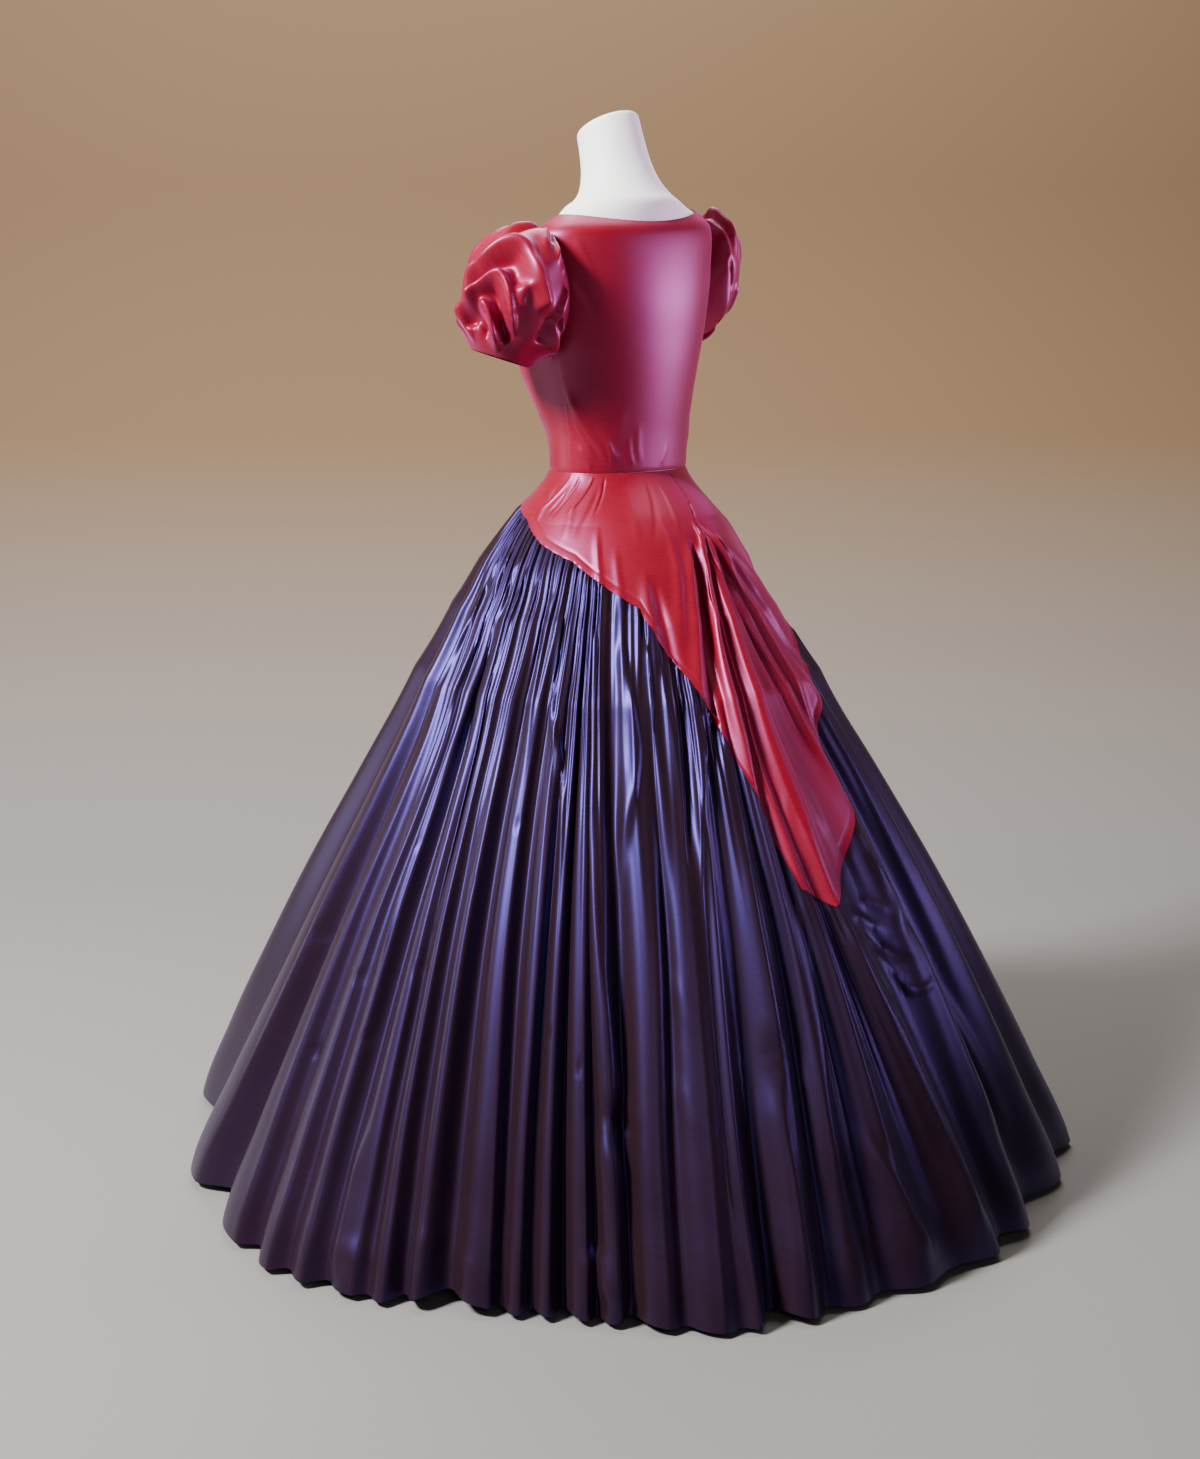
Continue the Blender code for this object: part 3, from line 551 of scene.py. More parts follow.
def bodice_panel(name, is_back, columns, creases):
    """The front or the back, side seam to side seam, cut away at both armholes."""
    widest = ARMHOLE_BACK if is_back else ARMHOLE_FRONT
    start = 0.0 if is_back else 180.0
    turned = np.linspace(-90, 90, ROWS_BESIDE)
    beside = ARMHOLE_MIDDLE + ARMHOLE_HALF * np.sin(np.radians(turned))
    below = np.linspace(0, UNDERARM_RING, ROWS_BELOW)[:-1]
    above = np.linspace(SHOULDER_RING, NECKLINE_RING, ROWS_ABOVE)[1:]
    ring = np.concatenate((below, beside, above))[:, None]
    cut = armhole_half_width(ring, widest)
    share = np.linspace(0, 1, columns + 1)[None, :]
    angle = start + cut + (180 - 2 * cut) * share
    ring = np.broadcast_to(ring, angle.shape)
    points = bodice_surface(angle, ring)
    normals = bodice_normals(angle, ring)
    lift = crease_height(angle, points[..., 2], creases, BODICE_SCALE)
    edge = np.minimum(share, 1 - share) * pi * BODICE_ROUND
    seam = swell(edge, *SIDE_SEAM)
    waist = swell(points[..., 2] - WAIST_HEIGHT, *WAIST_SEAM)
    grid = points + normals * (lift + seam + waist)[..., None]
    uv = np.stack((angle * BODICE_SCALE[0], points[..., 2]), -1)
    piece = grid_object(name, grid, uv)
    thicken(piece)
    return piece


def thicken(piece):
    """Gives a cloth surface its thickness, inward."""
    shell = piece.modifiers.new("thickness", "SOLIDIFY")
    shell.thickness = CLOTH_THICKNESS
    shell.offset = -1.0
    shell.use_even_offset = False


bodice_back = bodice_panel("bodice_back_cloth", is_back=True, columns=150, creases=BACK_CREASES)
bodice_front = bodice_panel("bodice_front_cloth", is_back=False, columns=80, creases=FRONT_CREASES)
for piece, node, flat, area in (
    (bodice_back, "bodice_back", (0.40, 0.38), 0.123),
    (bodice_front, "bodice_front", (0.46, 0.42), 0.145),
):
    piece.data.materials.append(red_taffeta)
    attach(piece, "root")
    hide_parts(node)

# SLEEVES
# Short puff sleeves of the same red taffeta, each one round piece. They are cut full, sewn into the
# armhole, caught up in deep draped folds and open at the cuff.
SLEEVE_SEAT = 0.0005
# The draped folds grow from nothing at the armhole to their height at this place.
FLAT_UNTIL = 1.6
FLAT_POWER = 1.5
# Metres to one degree round a sleeve and to one step along it.
SLEEVE_SCALE = (0.00115, 0.019)
# Rings from armhole to cuff: out, forward, up, tilt down, turn to the front, half width, half height.
LEFT_SLEEVE = np.array((
    (0.166, 0, 1.311, 0, 3, 0.047, 0.076),
    (0.175, 0.003, 1.309, 8, 7, 0.06, 0.083),
    (0.189, 0.01, 1.298, 22, 12, 0.07, 0.088),
    (0.201, 0.02, 1.281, 38, 20, 0.07, 0.084),
    (0.208, 0.029, 1.258, 54, 26, 0.065, 0.07),
    (0.21, 0.036, 1.233, 66, 30, 0.056, 0.055),
    (0.207, 0.04, 1.214, 72, 32, 0.048, 0.045),
))
RIGHT_SLEEVE = np.array((
    (0.168, 0, 1.325, 0, 3, 0.048, 0.081),
    (0.178, 0.004, 1.33, 8, 7, 0.05, 0.092),
    (0.19, 0.015, 1.322, 22, 13, 0.052, 0.093),
    (0.2, 0.03, 1.308, 38, 20, 0.052, 0.085),
    (0.206, 0.043, 1.29, 54, 26, 0.048, 0.071),
    (0.207, 0.052, 1.271, 66, 30, 0.043, 0.057),
    (0.202, 0.056, 1.255, 72, 32, 0.038, 0.045),
))
# Folds: angle round the ring at the armhole and at the cuff (0 back, 90 top), ridge height, half width.
LEFT_SLEEVE_FOLDS = (
    (8, -20, 0.007, 13),
    (38, 12, 0.009, 14),
    (68, 50, 0.010, 14),
    (100, 95, 0.008, 13),
    (136, 140, 0.009, 14),
    (176, 185, 0.007, 13),
    (-40, -62, 0.008, 14),
    (-78, -100, 0.006, 13),
)
RIGHT_SLEEVE_FOLDS = (
    (15, 5, 0.005, 13),
    (48, 40, 0.007, 14),
    (80, 78, 0.006, 13),
    (112, 118, 0.007, 14),
    (150, 160, 0.006, 13),
    (-25, -40, 0.005, 13),
    (-70, -84, 0.005, 13),
)


def armhole_edge(side, columns):
    """Points of one armhole at the sleeve's columns (0 back, 90 top), and the way the body faces there."""
    turned = np.radians(np.arange(columns) * 360.0 / columns)
    widest = np.where(np.cos(turned) > 0, ARMHOLE_BACK, ARMHOLE_FRONT)
    angle = widest * np.cos(turned)
    ring = ARMHOLE_MIDDLE + ARMHOLE_HALF * np.sin(turned)
    mirror = np.array((side, 1.0, 1.0))
    return bodice_surface(angle, ring) * mirror, bodice_normals(angle, ring) * mirror


def fold_lift(folds, angle, share):
    """How far a sleeve's folds lift it."""
    lift = np.zeros(np.broadcast(angle, share).shape)
    for start, end, ridge, spread in folds:
        away = (angle - (start + (end - start) * share) + 180) % 360 - 180
        lift += ridge * 2.0 ** (-((away / spread) ** 2))
    return lift * np.sin(pi * np.minimum(0.15 + 0.85 * share, 1.0))


def sleeve(name, side, rings, folds, creases, columns, rows):
    """A draped puff from the armhole down to the cuff. side is 1 for the wearer's left, -1 right."""
    edge, facing = armhole_edge(side, columns)
    middle = edge.mean(axis=0)
    away = (edge - middle) - facing * ((edge - middle) * facing).sum(-1, keepdims=True)
    angle = np.arange(columns) * 360.0 / columns
    turned = np.radians(angle)[:, None]
    knots = [edge + facing * SLEEVE_SEAT + unit(away) * WALL]
    reaches = [unit(away)]
    for out, forward, up, drop, turn, width, height in rings:
        drop = radians(drop)
        turn = radians(turn)
        axis = np.array((side * cos(drop) * cos(turn), -cos(drop) * sin(turn), -sin(drop)))
        backward = np.array((side * sin(turn), cos(turn), 0.0))
        upward = np.cross(axis, backward) * side
        reach = backward * np.cos(turned) * width + upward * np.sin(turned) * height
        knots.append(np.array((side * out, -forward, up)) + reach)
        reaches.append(unit(reach))
    place = np.linspace(0, len(rings), rows)
    points = between(np.array(knots), place)
    directions = unit(between(np.array(reaches), place))
    share = (place / len(rings))[:, None]
    lift = fold_lift(folds, angle[None, :], share) * np.clip(place[:, None], 0, 1)
    seated = np.clip(place[:, None] / FLAT_UNTIL, 0, 1) ** FLAT_POWER
    for turns in (-360, 0, 360):
        lift += seated * crease_height(angle[None, :] + turns, place[:, None], creases, SLEEVE_SCALE)
    grid = points + directions * lift[..., None]
    uv = np.stack(np.broadcast_arrays(angle[None, :], place[:, None]), -1) * SLEEVE_SCALE
    if side < 0:
        grid = grid[:, ::-1]
        uv = uv[:, ::-1]
    piece = grid_object(name, grid, uv, round_piece=True)
    thicken(piece)
    return piece


# The draped folds, as for the drag lines, with points as angle and place along the sleeve (7 is the cuff).
LEFT_CREASES = (
    (((100, 4.6), (81, 4.4), (70, 4), (62, 3.3), (50, 3), (36, 3.1), (13, 3.2), (-8, 3.5)),
     16, 5.1, 8.5, 0.2, 0.08),
    (((78, 4.75), (66, 4.4), (56, 3.9), (46, 3.5), (30, 3.6), (14, 3.7)), -17, 6.8, 6.8, 0.15, 0.35),
    (((72, 5.1), (58, 4.6), (47, 4.1), (36, 4.1), (25, 4.4), (12, 4.9), (-2, 5.5)),
     17, 4.3, 6.8, 0.15, 0.2),
    (((60, 5.2), (48, 4.6), (36, 4.6), (24, 4.9), (12, 5.4), (2, 5.9)), -20, 5.9, 5.9, 0.1, 0.15),
    (((84, 5.6), (72, 5.3), (56, 5), (42, 5), (30, 5.4), (20, 6), (12, 6.5)), 16, 5.1, 6.8, 0.1, 0.2),
    (((70, 5.8), (54, 5.4), (40, 5.6), (28, 6.1)), -16, 5.9, 5.9, 0.1, 0.3),
    (((92, 6), (80, 5.7), (66, 5.9), (54, 6.3)), 13, 5.1, 5.9, 0.1, 0.3),
    (((24, 3.6), (15, 4.1), (8, 4.4)), 9, 5.1, 7.6, 0.3, 0.2),
    (((-12, 3.1), (-22, 3.6), (-29, 4.3), (-36, 5)), -13, 8.5, 8.5, 0.2, 0.3),
    (((4, 1.2), (-6, 1.8), (-14, 2.6), (-24, 3.4)), 12, 8.5, 6.8, 0.2, 0.4),
    (((-22, 1.2), (-30, 1.8), (-38, 2.6)), 9, 5.9, 5.9, 0.2, 0.4),
    (((-14, 1), (-24, 2.2), (-32, 3.2)), -10, 5.1, 5.1, 0.1, 0.4),
    (((66, 0.7), (50, 1.1), (34, 1.5), (20, 1.9)), 9, 4.3, 4.3, 0.15, 0.3),
    (((56, 0.7), (40, 1), (24, 1.3)), -9, 3.4, 4.3, 0.1, 0.3),
    (((76, 0.8), (62, 1.5), (46, 2.1), (30, 2.4)), 7, 5.1, 4.3, 0.15, 0.4),
    (((70, 0.8), (56, 1.5), (42, 1.9)), -9, 4.3, 4.3, 0.1, 0.4),
    (((30, 0.6), (20, 1), (10, 1.3)), 7, 4.3, 3.4, 0.1, 0.4),
    (((92, 0.9), (90, 2), (96, 3.2)), 7, 8.5, 5.1, 0.2, 0.4),
    (((84, 1.2), (80, 2.4), (86, 3.4)), -7, 6.8, 6.8, 0.2, 0.4),
    (((118, 0.8), (124, 2.4), (118, 4.2)), -12, 6.8, 6.8, 0.1, 0.3),
    (((112, 1.2), (108, 3), (104, 4.6)), 9, 5.9, 7.6, 0.2, 0.3),
    (((152, 1), (156, 3), (148, 5.2)), -13, 6.8, 8.5, 0.1, 0.3),
    (((168, 0.9), (164, 2.4), (150, 3.8), (140, 4.2)), 10, 5.9, 7.6, 0.2, 0.3),
    (((198, 1), (204, 3), (210, 5.4)), -12, 6.8, 6.8, 0.1, 0.3),
    (((-60, 1), (-62, 3), (-70, 5.2)), -10, 5.9, 6.8, 0.1, 0.3),
    (((-98, 1), (-92, 3), (-86, 5.4)), -9, 6.8, 5.9, 0.1, 0.3),
)
RIGHT_CREASES = (
    (((100, 0.9), (66, 1), (34, 1.2), (8, 1.6)), 7, 4.3, 4.3, 0.1, 0.4),
    (((104, 1.2), (72, 1.5), (44, 1.7), (18, 2)), -8, 4.3, 4.3, 0.1, 0.4),
    (((98, 1.8), (66, 1.8), (40, 2.1), (12, 2.5)), 8, 5.1, 4.3, 0.1, 0.3),
    (((108, 2.2), (80, 2.4), (52, 2.6), (26, 3)), -8, 5.1, 5.1, 0.1, 0.3),
    (((112, 3), (86, 3.2), (60, 3.4), (38, 3.9), (20, 4.6)), 8, 5.9, 5.1, 0.1, 0.3),
    (((116, 3.8), (92, 4), (70, 4.3), (50, 5)), -9, 5.9, 5.9, 0.1, 0.3),
    (((20, 1.2), (0, 1.8), (-18, 2.6)), -7, 5.1, 5.1, 0.2, 0.4),
    (((2, 3), (-16, 4), (-24, 5.4)), 8, 5.9, 5.9, 0.2, 0.3),
    (((132, 0.9), (138, 2.6), (130, 4.8)), -9, 5.9, 6.8, 0.1, 0.3),
    (((158, 1), (154, 2.6), (142, 4)), 8, 5.9, 6.8, 0.2, 0.3),
    (((180, 1), (184, 3), (190, 5.2)), -8, 5.9, 5.9, 0.1, 0.3),
    (((-52, 1), (-56, 3), (-64, 5)), -7, 5.9, 5.9, 0.1, 0.3),
)
sleeve_left = sleeve(
    "sleeve_left_cloth", 1, LEFT_SLEEVE, LEFT_SLEEVE_FOLDS, LEFT_CREASES, columns=240, rows=90
)
sleeve_right = sleeve(
    "sleeve_right_cloth", -1, RIGHT_SLEEVE, RIGHT_SLEEVE_FOLDS, RIGHT_CREASES, columns=180, rows=66
)
for piece, node, flat in (
    (sleeve_left, "sleeve_left", (0.52, 0.19)),
    (sleeve_right, "sleeve_right", (0.42, 0.16)),
):
    piece.data.materials.append(red_taffeta)
    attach(piece, "root")
    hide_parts(node)

# BASQUE
# Fitted hip pieces of the red taffeta, sewn to the bodice at the waist. At the back they run down into a
# long slanting point, pleated from a tack. The lower edge is turned and stitched over the skirt's gathers.
SEAM_GAP = 0.0003
HEM_HEIGHT = 0.008
SKIRT_CONE = np.array((
    (1.05, 0.104, 0),
    (0.98, 0.157, 0.008),
    (0.92, 0.2, 0.012),
    (0.85, 0.243, 0.013),
    (0.75, 0.306, 0.01),
    (0.6, 0.393, 0.005),
    (0.45, 0.48, 0.002),
    (0.3, 0.56, 0),
    (0.15, 0.636, 0),
    (0, 0.703, 0),
))
WAIST_SHAPE_DEPTH = 0.100
# The slanting seam once round: bearing (0 back-left quarter, 45 centre back, 135 right side) and height.
BASQUE_SEAM = np.array((
    (-90, 1), (-59, 0.982), (-39, 0.952), (-21, 0.932), (-9, 0.906), (6, 0.872), (14, 0.812), (21, 0.766),
    (27, 0.69), (31, 0.6), (34, 0.506), (40, 0.476), (47, 0.52), (55, 0.57), (64, 0.69), (69, 0.722),
    (85, 0.805), (101, 0.885), (130, 0.9), (180, 0.93), (225, 0.968), (270, 1),
))
FOLD_HEIGHTS = np.array((0.98, 0.88, 0.68, 0.45, 0.22, 0.00))
AT_SEAM = -1.0
TACK_HEIGHT = 0.984
# Ridges of the folds that show: bearings at the heights above, where the trough after it begins, its
# depth, and how far the ridge stands in. The last three numbers shape the trough: sharp ridges (above 0)
# or a narrow trough (below 0), which side its floor leans to, and the share of its depth at the hem.
SEEN_FOLDS = (
    ((-88, -88, -89, -92, -97, -102), AT_SEAM, 0.062, -0.01, 0.2, 0.5, 1),
    ((-77, -72, -66, -65, -67, -70.5), AT_SEAM, 0.055, 0.026, 0.5, 0.9, 1),
    ((-68, -62, -54, -53, -52.5, -51.5), AT_SEAM, 0.026, 0.011, 0.3, 0.8, 1.1),
    ((-61, -54, -47, -46, -44.5, -43.5), AT_SEAM, 0.018, 0, 0.5, 0.6, 1),
    ((-55, -50, -43, -41, -39.5, -38), AT_SEAM, 0.04, 0.003, 0.7, 0.95, 0.6),
    ((-48, -44, -38, -35, -33, -31.5), AT_SEAM, 0.022, 0.016, 0.2, 0.7, 0.65),
    ((-42, -38, -34, -31.5, -29.5, -27.5), AT_SEAM, 0.024, 0.022, 0.6, 0.7, 1.15),
    ((-35, -31, -29, -27, -25, -23.5), AT_SEAM, 0.044, 0.03, 0.1, 0.95, 0.8),
    ((-23, -22, -21.5, -19.5, -17, -15.5), AT_SEAM, 0.032, 0.05, 0.5, 0.8, 0.65),
    ((-17, -16.5, -15.5, -14, -13, -12), AT_SEAM, 0.026, 0.054, -0.3, 0.6, 0.8),
    ((-14, -13, -11.5, -10.5, -9.5, -8.5), AT_SEAM, 0.03, 0.054, -0.6, 0.8, 1.1),
    ((-11, -10.5, -8.5, -6.5, -5, -4), AT_SEAM, 0.02, 0.05, -0.4, 0.7, 1.15),
    ((-8, -7.5, -5, -3, -1.5, -0.5), AT_SEAM, 0.04, 0.044, 0.1, 0.95, 0.7),
    ((8, 5, 4, 5, 4.5, 5), AT_SEAM, 0.03, 0.026, -0.6, 0.5, 0.6),
    ((22, 15, 13, 11.5, 11, 11), AT_SEAM, 0.016, 0.01, 0.5, -0.2, 0.7),
    ((28, 20, 18, 15.5, 14.5, 15), AT_SEAM, 0.034, 0.011, 0.4, 0.6, 1.1),
    ((36, 29, 25, 24, 22.5, 21), 0.9, 0.03, 0.012, -0.4, 0.3, 0.7),
    ((41, 35, 30.5, 30, 28.5, 28), TACK_HEIGHT, 0.026, 0.026, 0.3, 0.4, 0.8),
    ((42, 38, 34, 35, 36, 37), TACK_HEIGHT, 0.024, 0.018, 0.6, 0.2, 0.65),
    ((43, 41.5, 38, 41, 45, 49), TACK_HEIGHT, 0.024, 0.01, 0.2, 0.4, 0.9),
    ((44, 50, 55, 56.5, 57, 57), TACK_HEIGHT, 0.056, 0.014, 0.4, 0.3, 0.75),
    ((46, 62, 69.5, 71, 72, 73.5), TACK_HEIGHT, 0.034, 0.015, 0.2, 0.2, 0.85),
    ((52, 84, 86, 86, 86, 85.5), TACK_HEIGHT, 0.036, -0.002, 0.3, 0.2, 1),
)
# Folds of the hidden side: bearing at the hem, how far the top wanders, depth and inset.
HIDDEN_FOLDS = (
    (98, 6, 0.04, 0.006), (108, 4, 0.034, 0.012), (117, 3, 0.046, 0.004), (127, 1, 0.03, 0.012),
    (135, 0, 0.036, 0.006), (145, -1, 0.048, 0.002), (155, -2, 0.03, 0.012), (163, -1, 0.038, 0.008),
    (172, 0, 0.044, 0.002), (181, 1, 0.028, 0.012), (189, 2, 0.036, 0.006), (198, 3, 0.042, 0.002),
    (207, 3, 0.03, 0.01), (215, 2, 0.04, 0.004), (224, 2, 0.034, 0.008), (232, 2, 0.044, 0.002),
    (240, 4, 0.032, 0.01), (248, 7, 0.044, 0),
)
FOLD_GROWTH = 0.75
GATHER_DEPTH = 0.004
GATHER_LENGTH = 0.140
GATHER_HOLD = 0.7
ROUNDED_BELOW = 0.55
HALVINGS = 30
HEM_SOFTNESS = 0.6
RIDGE_ROUNDING = 0.012

folds = list(SEEN_FOLDS)
for number, (bearing, wander, depth, inset) in enumerate(HIDDEN_FOLDS):
    bearings = [bearing + wander * height / FOLD_HEIGHTS[0] for height in FOLD_HEIGHTS]
    crisp = 0.7 * sin(1.7 * number + 0.6)
    lean = 0.55 * sin(2.4 * number)
    hem = 0.85 + 0.25 * sin(3.1 * number + 1.0)
    folds.append((bearings, AT_SEAM, depth, inset, crisp, lean, hem))
RIDGES, BEGINS, DEPTHS, INSETS, CRISPS, LEANS, HEMS = (np.array(column, float) for column in zip(*folds))
FOLD_COUNT = len(RIDGES)


def ridge_bearing(number, height):
    """The bearings of ridges at heights; numbers past either end go on round the skirt."""
    turns, index = np.divmod(number, FOLD_COUNT)
    place = np.interp(-np.clip(height, 0.0, FOLD_HEIGHTS[0]), -FOLD_HEIGHTS, np.arange(len(FOLD_HEIGHTS)))
    start = np.clip(np.floor(place).astype(int), 0, len(FOLD_HEIGHTS) - 2)
    t = place - start
    before = RIDGES[index, np.maximum(start - 1, 0)]
    after = RIDGES[index, np.minimum(start + 2, len(FOLD_HEIGHTS) - 1)]
    return 360.0 * turns + through(before, RIDGES[index, start], RIDGES[index, start + 1], after, t)


def seam_height_at(bearing):
    """The height of the slanting seam at a bearing."""
    return np.interp((bearing + 90) % 360 - 90, BASQUE_SEAM[:, 0], BASQUE_SEAM[:, 1])


def smooth_cone(bearing, height):
    """The skirt's radius at a bearing and height before any fold."""
    levels = SKIRT_CONE[:, 0]
    place = np.interp(-np.clip(height, 0.0, WAIST_HEIGHT), -levels, np.arange(len(levels)))
    sideways = between(SKIRT_CONE[:, 2], place)
    radius = between(SKIRT_CONE[:, 1], place) - sideways * np.sin(np.radians(bearing))
    near_waist = np.clip(1 - (WAIST_HEIGHT - height) / WAIST_SHAPE_DEPTH, 0, 1)
    angle = np.radians(bearing + QUARTER)
    depth = np.where(np.sin(angle) > 0, BODICE_RINGS[0, 3], BODICE_RINGS[0, 2])
    waist_reach = 1 / np.hypot(np.cos(angle) / BODICE_RINGS[0, 1], np.sin(angle) / depth)
    return radius + (waist_reach - SKIRT_CONE[0, 1]) * near_waist**2


def trough(share, crisp, lean):
    """A trough from ridge to ridge: soft, sharp at its ridges or narrow, its floor moved to one side."""
    turned = pi * (share + lean * share * (1 - share))
    soft = np.sin(turned) ** 2
    # The two numbers bring it to 0 at a ridge and 1 at the floor.
    sharp = (np.sqrt(np.sin(turned) ** 2 + RIDGE_ROUNDING) - 0.1095) / 0.8965
    narrow = soft**4
    return soft + (sharp - soft) * np.maximum(crisp, 0) + (narrow - soft) * np.maximum(-crisp, 0)


def skirt_surface(numbers, heights):
    """The outer face of basque and skirt at heights and ridge numbers, with shares on to the next."""
    numbers, heights = np.broadcast_arrays(np.asarray(numbers, float), np.asarray(heights, float))
    number = np.floor(numbers).astype(int)
    share = numbers - number
    first = ridge_bearing(number, heights)
    second = ridge_bearing(number + 1, heights)
    bearing = first + (second - first) * share
    here = number % FOLD_COUNT
    following = (number + 1) % FOLD_COUNT
    inset = INSETS[here] + (INSETS[following] - INSETS[here]) * share
    start = np.where(BEGINS[here] == AT_SEAM, seam_height_at(bearing), BEGINS[here])
    below = start - heights
    radius = smooth_cone(bearing, heights) - inset * (np.maximum(below, 0) / start) ** 2
    near_hem = ease(np.clip(1 - heights / ROUNDED_BELOW, 0, 1))
    single = trough(share, CRISPS[here] * (1 - HEM_SOFTNESS * near_hem), LEANS[here])
    single = single * (1 + (HEMS[here] - 1) * near_hem)
    double = (1 - np.cos(4 * pi * share)) / 2
    grown = DEPTHS[here] * np.clip(below / start, 0, 1) ** FOLD_GROWTH
    gathered = np.where(BEGINS[here] == AT_SEAM, np.clip(1 - below / GATHER_LENGTH, 0, 1), 0.0)
    depth = GATHER_DEPTH * gathered * double + grown * (1 - GATHER_HOLD * gathered) * single
    radius = radius - np.where(below < 0, 0.0, depth)
    angle = np.radians(bearing + QUARTER)
    return np.stack((radius * np.cos(angle), radius * np.sin(angle), heights), -1)


def seam_height(numbers):
    """Where columns of the skirt's cloth meet the slanting seam, found by halving."""
    high = np.full(numbers.shape, WAIST_HEIGHT)
    low = np.full(numbers.shape, HEM_HEIGHT)
    for _ in range(HALVINGS):
        height = (high + low) / 2
        point = skirt_surface(numbers, height)
        bearing = np.degrees(np.arctan2(point[..., 1], point[..., 0])) - QUARTER
        above = height > seam_height_at(bearing)
        high = np.where(above, height, high)
        low = np.where(above, low, height)
    return (high + low) / 2


def skirt_normals(numbers, heights):
    return outward(skirt_surface, numbers, heights, step_across=0.04, step_up=0.004)


def skirt_piece(name, first, last, top, bottom, columns_per_fold, rows, adjust):
    """One piece of basque or skirt between two columns and two heights. adjust lifts its face."""
    columns = int(round((last - first) * columns_per_fold)) + 1
    numbers = np.linspace(first, last, columns)[None, :]
    share = np.linspace(0, 1, rows)[:, None]
    low = bottom(numbers)
    heights = low + (top(numbers) - low) * share
    numbers = np.broadcast_to(numbers, heights.shape)
    points = skirt_surface(numbers, heights)
    normals = skirt_normals(numbers, heights)
    grid = points + normals * adjust(numbers, heights, points)[..., None]
    run = np.cumsum(np.linalg.norm(np.diff(points, axis=1, prepend=points[:, :1]), axis=-1), axis=1)
    uv = np.stack((run[0][None, :] * np.ones((rows, 1)), heights), -1)
    piece = grid_object(name, grid, uv)
    thicken(piece)
    return piece


def waist_line(numbers):
    return np.full(numbers.shape, WAIST_HEIGHT - 0.0001)


def basque_edge(numbers):
    return seam_height(numbers) + SEAM_GAP


